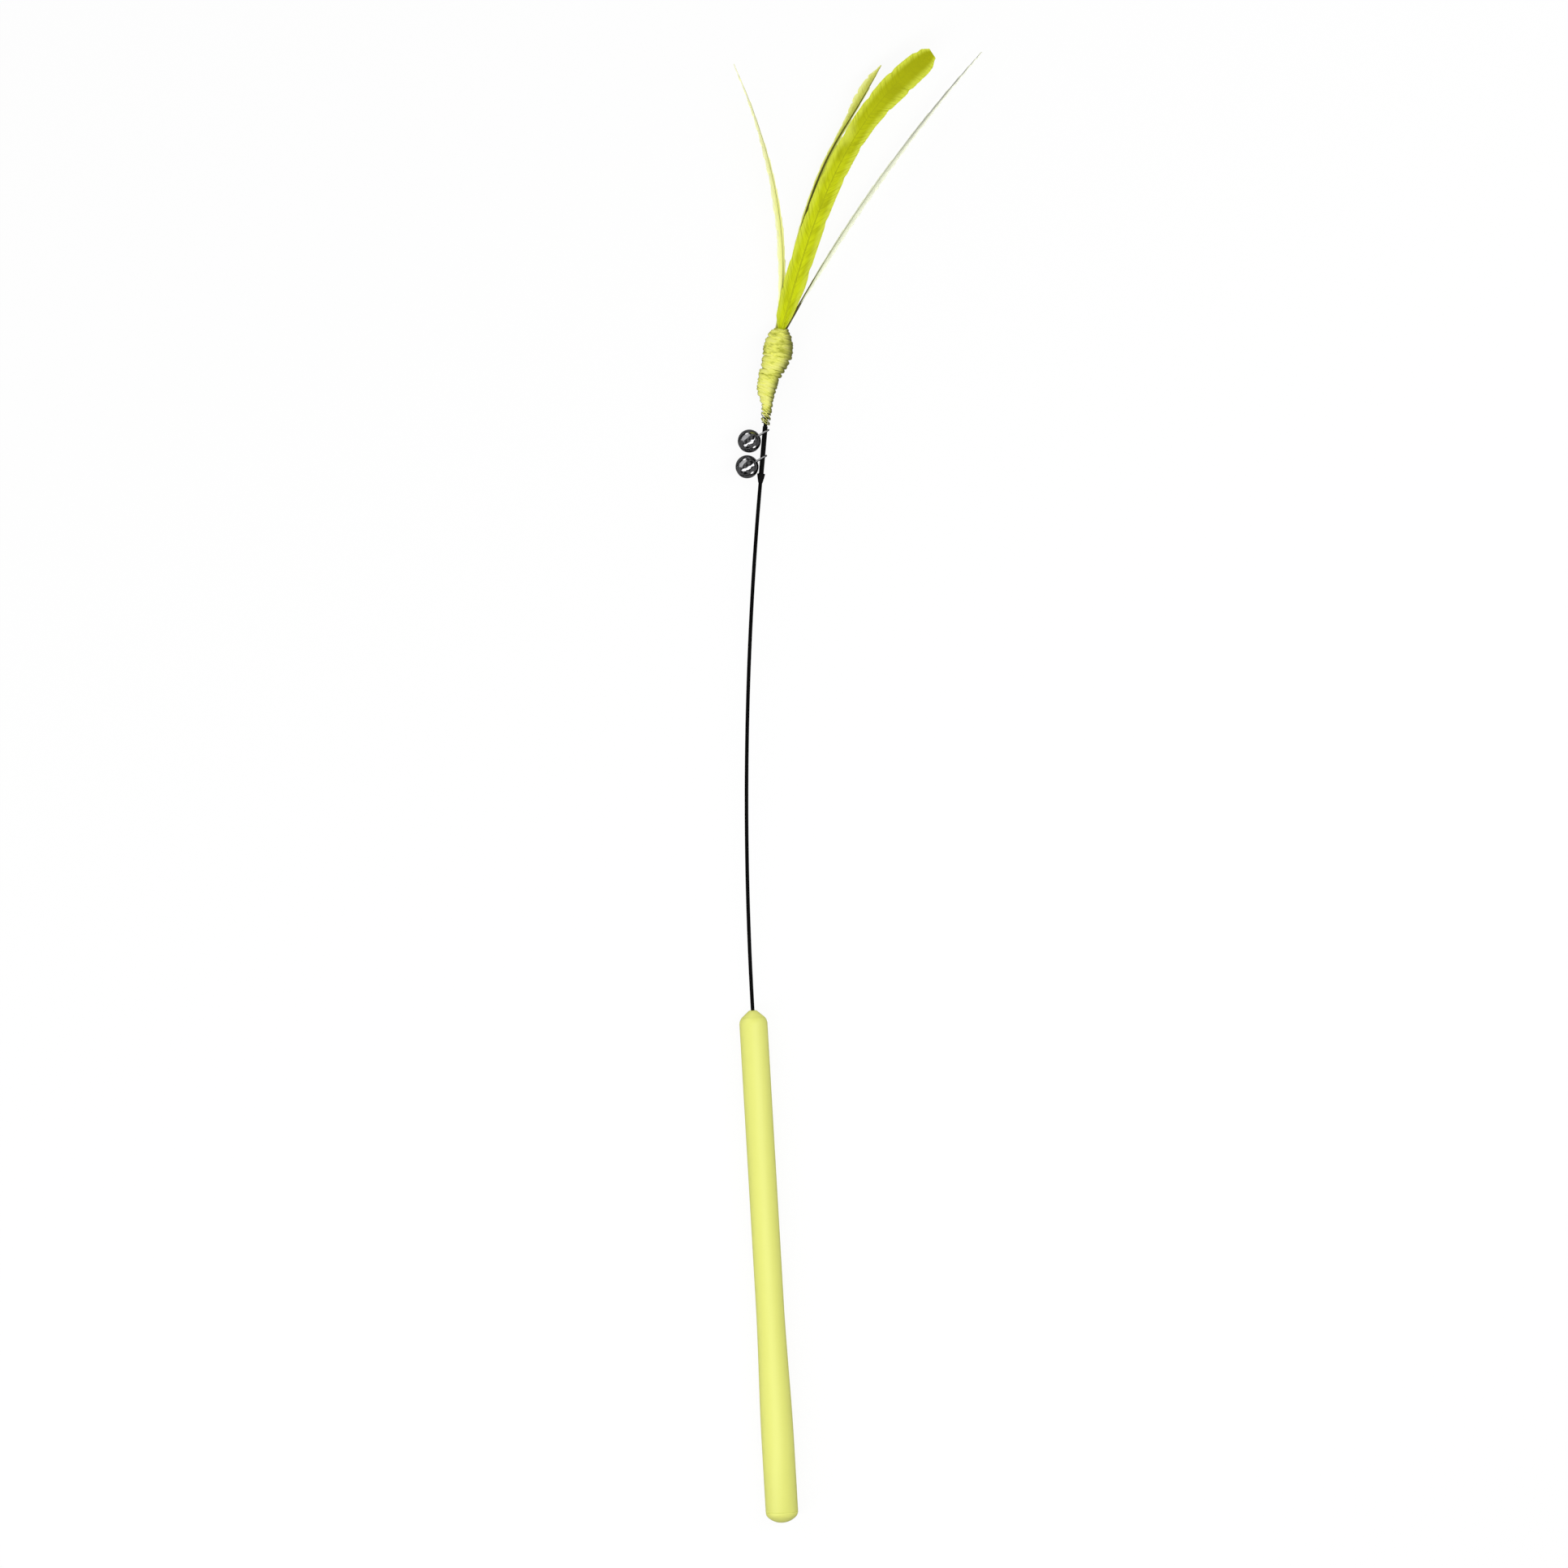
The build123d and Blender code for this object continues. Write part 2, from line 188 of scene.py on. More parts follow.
# Share of the vane's length, and share of its width or of one half's width there
blunt_vane_shares = [
    (0.0, 0.5), (0.03, 0.7), (0.12, 0.9), (0.3, 1.0), (0.62, 1.0), (0.84, 1.12), (0.95, 1.0),
    (0.98, 0.82), (1.0, 0.45),
]
even_half_shares = [(0, 1), (1, 1)]
broad_left_half_shares = [(0, 1.2), (0.1, 1.12), (0.3, 1), (1, 1)]
broad_right_half_shares = [
    (0, 0.75), (0.04, 0.82), (0.08, 0.95), (0.14, 1.08), (0.22, 1.05), (0.35, 1), (0.7, 1), (0.88, 1.3),
    (1, 1.3),
]
slender_left_half_shares = [
    (0, 0.3), (0.45, 0.33), (0.66, 0.36), (0.75, 0.67), (0.84, 1.35), (0.92, 1.6), (0.97, 1.4), (1, 1),
]
slender_right_half_shares = [(0, 1), (0.5, 0.8), (0.65, 0.45), (0.8, 0.25), (1, 0.2)]
slender_vane_shares = [
    (0.0, 0.11), (0.07, 0.5), (0.2, 0.86), (0.42, 1.0), (0.7, 1.0), (0.86, 0.88), (0.94, 0.64), (1.0, 0.12),
]
edge_vane_shares = [
    (0.0, 0.11), (0.07, 0.5), (0.2, 0.86), (0.42, 1.0), (0.66, 0.84), (0.86, 0.5), (1.0, 0.09),
]
# Share of the vane's length, and how far it leans beyond the feather's even curve there, in degrees
even_sway = [(0, 0), (1, 0)]
slender_sway = [
    (0, 0), (0.45, 0), (0.58, 2), (0.66, 4), (0.73, 4), (0.8, 1), (0.88, -3), (0.96, -5), (1, -5.5),
]
# Bare is the quill's length below the vane, and sink how far the vane goes on down into the binding. The
# place is where the quill leaves the binding, in shares of the core's top radius. Leans, rises and rolls are
# degrees at the root and the tip, and power is how late the lean comes. Sweep is how far the barbs run
# forward, and cup how far the vane curls. A clump is the fewest and most barbs that hold together, overlap
# its lift over the next one, notch and fringe the gaps at the edge, and taper how late the shaft thins.
broad_feather = dict(
    length=110.6 * mm, width=7.8 * mm, bare=1 * mm, sink=5 * mm, vane=blunt_vane_shares,
    halves={-1: broad_left_half_shares, 1: broad_right_half_shares}, sway=even_sway,
    place=(0.14, 0.62), leans=(10.7, 51.6), power=2, rises=(1.5, 4), rolls=(0, 12),
    sweep=0.9, cup=-0.12, clump=(24, 44), notch=0.08, overlap=0.4 * mm, fringe=0.03, taper=0.4,
)
slender_feather = dict(
    length=98.8 * mm, width=5.6 * mm, bare=8 * mm, sink=0, vane=slender_vane_shares,
    halves={-1: slender_left_half_shares, 1: slender_right_half_shares}, sway=slender_sway,
    place=(0.09, -0.05), leans=(2.9, 30.9), power=1, rises=(-0.5, -1), rolls=(35, 45),
    sweep=1.3, cup=-0.1, clump=(8, 16), notch=0.2, overlap=0.3 * mm, fringe=0.05, taper=2.5,
)
edge_on = dict(
    width=7.2 * mm, vane=edge_vane_shares, halves={-1: even_half_shares, 1: even_half_shares},
    sway=even_sway, rises=(0.5, 0.5), sweep=1.3, cup=-0.12, clump=(8, 16), notch=0.2, overlap=0.4 * mm,
    fringe=0.05, taper=0.6,
)
left_feather = dict(
    edge_on, length=94.2 * mm, bare=3 * mm, sink=3 * mm, place=(-0.72, -0.1), leans=(6.4, -30.3),
    power=0.7, rolls=(62, 84),
)
right_feather = dict(
    edge_on, length=117.9 * mm, bare=8 * mm, sink=0, place=(0.62, -0.6), leans=(24.6, 37.2),
    power=1, rolls=(-71, -77),
)


# Node helpers

def set_inputs(node, inputs):
    for label, value in inputs.items():
        node.inputs[label].default_value = value


def add_node(tree, kind, inputs=None, **values):
    """A new node with its properties set by name and its unlinked inputs from a table."""
    node = tree.nodes.new(kind)
    for name, value in values.items():
        setattr(node, name, value)
    set_inputs(node, inputs or {})
    return node


def join(tree, *links):
    """Links nodes. Each link is a node, its output, another node and its input."""
    for source, output, target, entry in links:
        tree.links.new(source.outputs[output], target.inputs[entry])


def new_material(name):
    material = bpy.data.materials.new(name)
    material.use_nodes = True
    tree = material.node_tree
    return material, tree, tree.nodes["Principled BSDF"]


def colour_ramp(tree, stops):
    ramp = add_node(tree, "ShaderNodeValToRGB")
    elements = ramp.color_ramp.elements
    while len(elements) < len(stops):
        elements.new(0.5)
    for element, (position, colour) in zip(elements, stops):
        element.position = position
        element.color = (*colour, 1)
    return ramp


def new_group(name, inputs, outputs):
    """A shader node group with the named inputs (name, kind, value) and outputs (name, kind)."""
    group = bpy.data.node_groups.new(name, "ShaderNodeTree")
    for label, kind, value in inputs:
        socket = group.interface.new_socket(label, in_out="INPUT", socket_type=kind)
        if value is not None:
            socket.default_value = value
    for label, kind in outputs:
        group.interface.new_socket(label, in_out="OUTPUT", socket_type=kind)
    return group, group.nodes.new("NodeGroupInput"), group.nodes.new("NodeGroupOutput")


def make_mottle_group():
    """Uneven tone: a colour mixed towards a second one by soft noise, with a roughness and a fine height."""
    inputs = [
        ("Vector", "NodeSocketVector", None),
        ("Colour", "NodeSocketColor", (1, 1, 1, 1)),
        ("Second Colour", "NodeSocketColor", (0.5, 0.5, 0.5, 1)),
        ("Scale", "NodeSocketFloat", 100.0),
        ("Fine Scale", "NodeSocketFloat", 1500.0),
        ("Low Roughness", "NodeSocketFloat", 0.3),
        ("High Roughness", "NodeSocketFloat", 0.5),
    ]
    outputs = [("Colour", "NodeSocketColor"), ("Roughness", "NodeSocketFloat"), ("Height", "NodeSocketFloat")]
    group, source, target = new_group("mottled_tone", inputs, outputs)
    broad = add_node(group, "ShaderNodeTexNoise", {"Detail": 4})
    fine = add_node(group, "ShaderNodeTexNoise", {"Detail": 2})
    mix = add_node(group, "ShaderNodeMix", data_type="RGBA")
    gloss = add_node(group, "ShaderNodeMapRange")
    join(
        group,
        (source, "Vector", broad, "Vector"),
        (source, "Vector", fine, "Vector"),
        (source, "Scale", broad, "Scale"),
        (source, "Fine Scale", fine, "Scale"),
        (broad, "Fac", mix, "Factor"),
        (source, "Colour", mix, "A"),
        (source, "Second Colour", mix, "B"),
        (broad, "Fac", gloss, "Value"),
        (source, "Low Roughness", gloss, "To Min"),
        (source, "High Roughness", gloss, "To Max"),
        (mix, "Result", target, "Colour"),
        (gloss, "Result", target, "Roughness"),
        (fine, "Fac", target, "Height"),
    )
    return group


mottled_tone = make_mottle_group()


def mottled_material(
    name, tones, scales, roughness, bump, stretch=(1, 1, 1), depth=0.1 * mm, specular=0.5, metallic=0
):
    """A surface with mottled tone, uneven gloss and fine relief, on the piece's own coordinates."""
    material, tree, shader = new_material(name)
    values = {
        "Colour": (*tones[0], 1),
        "Second Colour": (*tones[1], 1),
        "Scale": scales[0],
        "Fine Scale": scales[1],
        "Low Roughness": roughness[0],
        "High Roughness": roughness[1],
    }
    place = add_node(tree, "ShaderNodeTexCoord")
    mapping = add_node(tree, "ShaderNodeMapping", {"Scale": stretch})
    tone = add_node(tree, "ShaderNodeGroup", values, node_tree=mottled_tone)
    relief = add_node(tree, "ShaderNodeBump", {"Strength": bump, "Distance": depth})
    set_inputs(shader, {"Specular IOR Level": specular, "Metallic": metallic})
    join(
        tree,
        (place, "Object", mapping, "Vector"),
        (mapping, "Vector", tone, "Vector"),
        (tone, "Colour", shader, "Base Color"),
        (tone, "Roughness", shader, "Roughness"),
        (tone, "Height", relief, "Height"),
        (relief, "Normal", shader, "Normal"),
    )
    return material


def lemon_plastic():
    return mottled_material(
        "lemon_plastic", tones=[(0.90, 0.925, 0.235), (0.86, 0.885, 0.20)], scales=(60, 900),
        roughness=(0.34, 0.46), bump=0.08, stretch=(1, 0.25, 1), specular=0.4,
    )


def black_enamel():
    return mottled_material(
        "black_enamel", tones=[(0.001, 0.001, 0.001), (0.003, 0.003, 0.003)], scales=(300, 2500),
        roughness=(0.45, 0.6), bump=0.15, stretch=(1, 0.15, 1), specular=0.04,
    )


def black_sleeve():
    return mottled_material(
        "black_sleeve", tones=[(0.001, 0.001, 0.001), (0.005, 0.005, 0.005)], scales=(700, 3500),
        roughness=(0.5, 0.7), bump=0.3, specular=0.08,
    )


def dark_nickel():
    return mottled_material(
        "dark_nickel", tones=[(0.25, 0.25, 0.26), (0.46, 0.46, 0.47)], scales=(420, 420),
        roughness=(0.08, 0.16), bump=0.8, depth=0.35 * mm, metallic=1,
    )


def loop_nickel():
    return mottled_material(
        "loop_nickel", tones=[(0.55, 0.55, 0.56), (0.35, 0.35, 0.36)], scales=(900, 3000),
        roughness=(0.2, 0.4), bump=0.1, metallic=1,
    )


def plain_steel():
    return mottled_material(
        "plain_steel", tones=[(0.42, 0.42, 0.43), (0.3, 0.29, 0.28)], scales=(900, 4000),
        roughness=(0.25, 0.45), bump=0.2, metallic=1,
    )


def crimp_alloy():
    return mottled_material(
        "crimp_alloy", tones=[(0.6, 0.6, 0.6), (0.48, 0.48, 0.47)], scales=(700, 3000),
        roughness=(0.35, 0.5), bump=0.2, metallic=1,
    )


def shaded_core_yarn():
    """The inner layers, coloured olive as painted shade, which shows as hollows between the turns."""
    return mottled_material(
        "shaded_core_yarn", tones=[(0.42, 0.43, 0.05), (0.58, 0.60, 0.09)], scales=(700, 2500),
        roughness=(0.8, 0.9), bump=0.6, specular=0.1,
    )


def lemon_yarn():
    """Soft spun yarn: fibres that run along each strand, in uneven tones, with painted shade on the flanks.
    """
    material, tree, shader = new_material("lemon_yarn")
    along = add_node(tree, "ShaderNodeUVMap", uv_map="UVMap")
    stretched = add_node(tree, "ShaderNodeMapping", {"Scale": (220, 5, 1)})
    fibres = add_node(tree, "ShaderNodeTexNoise", {"Scale": 1, "Detail": 3})
    place = add_node(tree, "ShaderNodeTexCoord")
    banded = add_node(tree, "ShaderNodeMapping", {"Scale": (0.35, 1, 0.35)})
    patches = add_node(tree, "ShaderNodeTexNoise", {"Scale": 420})
    mix = add_node(tree, "ShaderNodeMix", {"Factor": 0.68}, data_type="FLOAT")
    stops = [
        (0.36, (0.52, 0.54, 0.055)),
        (0.46, (0.94, 0.96, 0.18)),
        (0.56, (1.0, 1.0, 0.28)),
    ]
    tones = colour_ramp(tree, stops)
    # Painted shade: the yarn is mixed towards a dark olive on the binding's flanks, more on the right, and in
    # the tail.
    flank_shade = add_node(tree, "ShaderNodeAttribute", attribute_name="flank_shade")
    deeper = add_node(
        tree, "ShaderNodeMapRange", {"From Min": 0.06, "From Max": 0.95}, interpolation_type="SMOOTHSTEP"
    )
    flank_shade_mix = add_node(tree, "ShaderNodeMix", {"B": (0.22, 0.225, 0.038, 1)}, data_type="RGBA")
    relief = add_node(tree, "ShaderNodeBump", {"Strength": 0.5, "Distance": 0.1 * mm})
    set_inputs(shader, {"Roughness": 0.85, "Specular IOR Level": 0.2, "Sheen Weight": 0.08})
    join(
        tree,
        (along, "UV", stretched, "Vector"),
        (stretched, "Vector", fibres, "Vector"),
        (place, "Object", banded, "Vector"),
        (banded, "Vector", patches, "Vector"),
        (fibres, "Fac", mix, "A"),
        (patches, "Fac", mix, "B"),
        (mix, "Result", tones, "Fac"),
        (flank_shade, "Fac", deeper, "Value"),
        (deeper, "Result", flank_shade_mix, "Factor"),
        (tones, "Color", flank_shade_mix, "A"),
        (flank_shade_mix, "Result", shader, "Base Color"),
        (fibres, "Fac", relief, "Height"),
        (relief, "Normal", shader, "Normal"),
    )
    return material


def make_barb_group():
    """Feather vane: tones across and along the vane, blotched, streaked barb by barb, with a paler patch."""
    streak_grain = (2.2, 150, 1)
    blotch_grain = (1.5, 14, 1)
    streak_span = (0.42, 0.78)
    blotch_span = (0.42, 0.72)
    tip_span = (0.35, 1)
    edge_span = (0.4, 0.9)
    patch_span = (0.1, 1.2)
    patch_width = 0.4
    patch_length = 0.05
    patch_slant = -0.06
    inputs = [
        ("Edge Tone", "NodeSocketColor", (1, 1, 1, 1)),
        ("Middle Tone", "NodeSocketColor", (1, 1, 1, 1)),
        ("Tip Tone", "NodeSocketColor", (1, 1, 1, 1)),
        ("Streak Tone", "NodeSocketColor", (0, 0, 0, 1)),
        ("Patch Tone", "NodeSocketColor", (1, 1, 1, 1)),
        ("Streaks", "NodeSocketFloat", 0.5),
        ("Patch Across", "NodeSocketFloat", 0.1),
        ("Patch Along", "NodeSocketFloat", 0.6),
        ("Patch", "NodeSocketFloat", 0.0),
    ]
    outputs = [("Colour", "NodeSocketColor"), ("Height", "NodeSocketFloat")]
    group, source, target = new_group("barbed_vane", inputs, outputs)
    link = group.links.new

    def math_node(operation, *values):
        node = add_node(group, "ShaderNodeMath", operation=operation)
        for socket, value in zip(node.inputs, values):
            if isinstance(value, (int, float)):
                socket.default_value = value
            else:
                link(value, socket)
        return node.outputs["Value"]

    def ease(value, span):
        node = add_node(
            group, "ShaderNodeMapRange", {"From Min": span[0], "From Max": span[1]},
            interpolation_type="SMOOTHSTEP",
        )
        link(value, node.inputs["Value"])
        return node.outputs["Result"]

    def mixed(share, first, second):
        node = add_node(group, "ShaderNodeMix", data_type="RGBA")
        link(share, node.inputs["Factor"])
        link(first, node.inputs["A"])
        link(second, node.inputs["B"])
        return node.outputs["Result"]

    def uv_noise(grain):
        mapping = add_node(group, "ShaderNodeMapping", {"Scale": grain})
        pattern = add_node(group, "ShaderNodeTexNoise", {"Scale": 1, "Detail": 3})
        link(along.outputs["UV"], mapping.inputs["Vector"])
        link(mapping.outputs["Vector"], pattern.inputs["Vector"])
        return pattern.outputs["Fac"]

    along = add_node(group, "ShaderNodeUVMap", uv_map="UVMap")
    split = add_node(group, "ShaderNodeSeparateXYZ")
    link(along.outputs["UV"], split.inputs["Vector"])
    across = split.outputs["X"]
    lengthwise = split.outputs["Y"]
    given = source.outputs
    out = math_node("ABSOLUTE", math_node("MULTIPLY_ADD", across, 2, -1))
    streak = uv_noise(streak_grain)
    blotch = uv_noise(blotch_grain)
    streaks = math_node("MULTIPLY", ease(streak, streak_span), given["Streaks"])
    blotches = math_node("MULTIPLY", ease(blotch, blotch_span), given["Streaks"])
    aside = math_node("SUBTRACT", across, given["Patch Across"])
    slanted = math_node("MULTIPLY_ADD", across, patch_slant, lengthwise)
    ahead = math_node("SUBTRACT", slanted, given["Patch Along"])
    aside_squared = math_node("POWER", math_node("DIVIDE", aside, patch_width), 2)
    ahead_squared = math_node("POWER", math_node("DIVIDE", ahead, patch_length), 2)
    reach = math_node("SQRT", math_node("ADD", aside_squared, ahead_squared))
    patch = math_node("MULTIPLY", math_node("SUBTRACT", 1, ease(reach, patch_span)), given["Patch"])
    colour = mixed(ease(lengthwise, tip_span), given["Middle Tone"], given["Tip Tone"])
    colour = mixed(blotches, colour, given["Streak Tone"])
    colour = mixed(ease(out, edge_span), colour, given["Edge Tone"])
    colour = mixed(streaks, colour, given["Streak Tone"])
    colour = mixed(patch, colour, given["Patch Tone"])
    link(colour, target.inputs["Colour"])
    link(streak, target.inputs["Height"])
    return group


barbed_vane = make_barb_group()


def vane_material(
    name, middle, edge, tip_tone, streak, streaks, glow, patch=(0.1, 0.6, 0), patch_tone=(1, 1, 1)
):
    """A vane in its tones. A patch is its place across and along the vane, and its strength. The glow
    stands for the light that the thin vane lets through."""
    material, tree, shader = new_material(name)
    values = {
        "Middle Tone": (*middle, 1),
        "Edge Tone": (*edge, 1),
        "Tip Tone": (*tip_tone, 1),
        "Streak Tone": (*streak, 1),
        "Patch Tone": (*patch_tone, 1),
        "Streaks": streaks,
        "Patch Across": patch[0],
        "Patch Along": patch[1],
        "Patch": patch[2],
    }
    tone = add_node(tree, "ShaderNodeGroup", values, node_tree=barbed_vane)
    relief = add_node(tree, "ShaderNodeBump", {"Strength": 0.25, "Distance": 0.1 * mm})
    set_inputs(shader, {"Emission Strength": glow, "Roughness": 0.7, "Specular IOR Level": 0.04})
    join(
        tree,
        (tone, "Colour", shader, "Base Color"),
        (tone, "Colour", shader, "Emission Color"),
        (tone, "Height", relief, "Height"),
        (relief, "Normal", shader, "Normal"),
    )
    return material


def shaft_material(name, node, stops):
    """A quill whose tone changes from the binding to its tip, with a fine grain."""
    grain_reach = 0.25
    material, tree, shader = new_material(name)
    low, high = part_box(node)
    place = add_node(tree, "ShaderNodeTexCoord")
    split = add_node(tree, "ShaderNodeSeparateXYZ")
    along = add_node(tree, "ShaderNodeMapRange", {"From Min": low.y, "From Max": high.y})
    grain = add_node(tree, "ShaderNodeTexNoise", {"Scale": 260, "Detail": 3})
    shifted = add_node(tree, "ShaderNodeMath", {1: grain_reach}, operation="MULTIPLY_ADD")
    centred = add_node(tree, "ShaderNodeMath", {1: grain_reach / 2}, operation="SUBTRACT")
    tones = colour_ramp(tree, stops)
    relief = add_node(tree, "ShaderNodeBump", {"Strength": 0.1, "Distance": 0.1 * mm})
    set_inputs(shader, {"Roughness": 0.5, "Specular IOR Level": 0.06})
    join(
        tree,
        (place, "Object", split, "Vector"),
        (place, "Object", grain, "Vector"),
        (split, "Y", along, "Value"),
        (grain, "Fac", shifted, 0),
        (along, "Result", shifted, 2),
        (shifted, "Value", centred, 0),
        (centred, "Value", tones, "Fac"),
        (tones, "Color", shader, "Base Color"),
        (grain, "Fac", relief, "Height"),
        (relief, "Normal", shader, "Normal"),
    )
    return material


# Mesh helpers

def between(shares, share, column=1):
    """The value at a share of the length, on straight lines between the rows of a table."""
    for low, high in zip(shares, shares[1:]):
        if share <= high[0]:
            part = (share - low[0]) / (high[0] - low[0])
            return low[column] + (high[column] - low[column]) * part
    return shares[-1][column]


def arc(centre, radius, start, end, count):
    """Points on an arc, with its angles in degrees."""
    points = []
    for i in range(count + 1):
        angle = math.radians(start + (end - start) * i / count)
        points.append((centre[0] + radius * math.cos(angle), centre[1] + radius * math.sin(angle)))
    return points


def turn(profile, closed=True, steps=96, edge=0.0, sharp=25):
    """Spins a profile of (radius, place along Y) about the Y axis and rounds its sharp edges."""
    bm = bmesh.new()
    verts = [bm.verts.new((radius, along, 0)) for radius, along in profile]
    edges = [bm.edges.new(pair) for pair in zip(verts, verts[1:])]
    if closed:
        edges.append(bm.edges.new((verts[-1], verts[0])))
    bmesh.ops.spin(
        bm, geom=verts + edges, cent=(0, 0, 0), axis=(0, 1, 0), angle=2 * math.pi, steps=steps, use_merge=True
    )
    bmesh.ops.remove_doubles(bm, verts=bm.verts, dist=seam_gap)
    bmesh.ops.recalc_face_normals(bm, faces=bm.faces)
    if edge:
        round_edges(bm, edge, sharp)
    return bm


def round_edges(bm, offset, sharp):
    """Rounds the edges that turn by more than the given degrees."""
    limit = math.radians(sharp)
    edges = [e for e in bm.edges if len(e.link_faces) == 2 and e.calc_face_angle() > limit]
    bmesh.ops.bevel(
        bm, geom=edges, offset=offset, offset_type="OFFSET", affect="EDGES", segments=2, profile=0.5,
        material=-1, clamp_overlap=True,
    )


def start_tube(bm, radius, sides, place):
    """A ring of edges to pull a tube from."""
    ring = bmesh.ops.create_circle(bm, cap_ends=False, segments=sides, radius=radius, matrix=place)
    return [e for e in bm.edges if e.verts[0] in ring["verts"] and e.verts[1] in ring["verts"]]


def run_straight(bm, edges, way, steps=1):
    """Pulls a ring of edges straight on. Gives the new ring."""
    for _ in range(steps):
        made = bmesh.ops.extrude_edge_only(bm, edges=edges)["geom"]
        bmesh.ops.translate(bm, vec=way / steps, verts=[g for g in made if isinstance(g, bmesh.types.BMVert)])
        edges = [g for g in made if isinstance(g, bmesh.types.BMEdge) and len(g.link_faces) == 1]
    return edges


def run_round(bm, edges, centre, axis, angle, steps):
    """Pulls a ring of edges round an axis. Gives the new ring."""
    verts = list({v for e in edges for v in e.verts})
    last = bmesh.ops.spin(
        bm, geom=verts + edges, cent=centre, axis=axis, angle=angle, steps=steps, use_merge=False
    )["geom_last"]
    return [g for g in last if isinstance(g, bmesh.types.BMEdge)]


def close_tube(bm):
    bmesh.ops.holes_fill(bm, edges=[e for e in bm.edges if e.is_boundary], sides=0)
    bmesh.ops.recalc_face_normals(bm, faces=bm.faces)


def smooth(mesh, sharp=40):
    mesh.polygons.foreach_set("use_smooth", [True] * len(mesh.polygons))
    mesh.set_sharp_from_angle(angle=math.radians(sharp))


def new_holder(name, data):
    """An object in the scene that holds a mesh, curve, light or camera."""
    holder = bpy.data.objects.new(name, data)
    bpy.context.scene.collection.objects.link(holder)
    return holder


def new_object(name, bm):
    """An object in the scene that takes over the bmesh."""
    mesh = bpy.data.meshes.new(name)
    bm.to_mesh(mesh)
    bm.free()
    return new_holder(name, mesh)


def new_piece(name, bm, material, place=Matrix()):
    piece = new_object(name, bm)
    piece.data.transform(place)
    smooth(piece.data)
    piece.data.materials.append(material)
    return piece


def stand_for(piece, body, slot, *nodes):
    """The piece moves with a body and takes the place of its CAD nodes."""
    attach(piece, body)
    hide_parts(*nodes)


def tube_mesh(points, radii, radius):
    """A closed tube along points, with a UV map that runs along it. Radii are shares of the radius."""
    curve = bpy.data.curves.new("strand", "CURVE")
    curve.dimensions = "3D"
    curve.bevel_depth = radius
    curve.bevel_resolution = strand_sides // 2 - 2
    curve.use_fill_caps = True
    line = curve.splines.new("POLY")
    line.points.add(len(points) - 1)
    for spot, point, share in zip(line.points, points, radii):
        spot.co = (*point, 1)
        spot.radius = share
    carrier = new_holder("strand", curve)
    mesh = bpy.data.meshes.new_from_object(carrier.evaluated_get(bpy.context.evaluated_depsgraph_get()))
    bpy.data.objects.remove(carrier)
    bpy.data.curves.remove(curve)
    return mesh


# Handle, its cap and its nose

def make_handle(plastic):
    butt_high = butt_low + butt_length
    flare_steps = 24
    flare = []
    for i in range(flare_steps + 1):
        share = i / flare_steps
        ease = share * share * (3 - 2 * share)
        flare.append((butt_radius + (handle_radius - butt_radius) * ease, butt_high + flare_length * share))
    rim_width = handle_radius - nose_radius
    rim_radius = (rim_height ** 2 + rim_width ** 2) / (2 * rim_width)
    rim_angle = math.degrees(math.asin(rim_height / rim_radius))
    shoulder = arc((handle_radius - rim_radius, tube_top - rim_height), rim_radius, 0, rim_angle, count=12)
    profile = [
        (bore_radius, butt_low),
        (butt_radius, butt_low),
        *flare,
        *shoulder,
        (bore_radius, tube_top),
    ]
    tube = new_piece("moulded_handle", turn(profile, edge=moulded_edge), plastic)
    stand_for(tube, "handle", "handle_plastic", "handle_tube")


def make_cap(plastic):
    dome_height = butt_low - dome_low
    shoulder_place = butt_radius - dome_shoulder_radius
    rise = dome_height - dome_shoulder_radius
    crown_radius = dome_shoulder_radius + (shoulder_place ** 2 + rise ** 2) / (2 * rise)
    crown_place = dome_low + crown_radius
    crown_angle = math.degrees(math.atan2(shoulder_place, crown_place - butt_low))
    dome = arc((0, crown_place), crown_radius, -90, crown_angle - 90, count=16)
    dome += arc((shoulder_place, butt_low), dome_shoulder_radius, crown_angle - 90, 0, count=12)[1:]
    profile = [
        *dome,
        (bore_radius, butt_low),
        (bore_radius, butt_low + cap_spigot_length),
        (0, butt_low + cap_spigot_length),
    ]
    cap = new_piece("domed_cap", turn(profile, closed=False, edge=moulded_edge, sharp=50), plastic)
    stand_for(cap, "handle", "handle_plastic", "end_cap")


def make_nose(plastic):
    plug_back = tube_top - nose_spigot_length
    profile = [
        (nose_radius, tube_top),
        (bore_radius, tube_top),
        (bore_radius, plug_back),
        (wire_radius, plug_back),
        (wire_radius, nose_tip),
        (nose_tip_radius, nose_tip),
    ]
    nose = new_piece("nose_cone", turn(profile, edge=moulded_edge), plastic)
    stand_for(nose, "handle", "handle_plastic", "nose_plug")


# Wire and the sleeve on it

def make_wire(enamel):
    bm = bmesh.new()
    edges = start_tube(bm, wire_radius, wire_sides, Matrix.Translation((0, wire_root, 0)) @ facing_y)
    edges = run_straight(bm, edges, Vector((0, nose_tip - wire_root, 0)), steps=6)
    edges = run_round(bm, edges, (wire_bow_radius, nose_tip, 0), (0, 0, 1), -bow_angle, steps=90)
    run_straight(bm, edges, tip_axis * wire_end_length, steps=12)
    close_tube(bm)
    wire = new_piece("coated_wire", bm, enamel)
    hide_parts("wand_wire")
    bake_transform(wire)


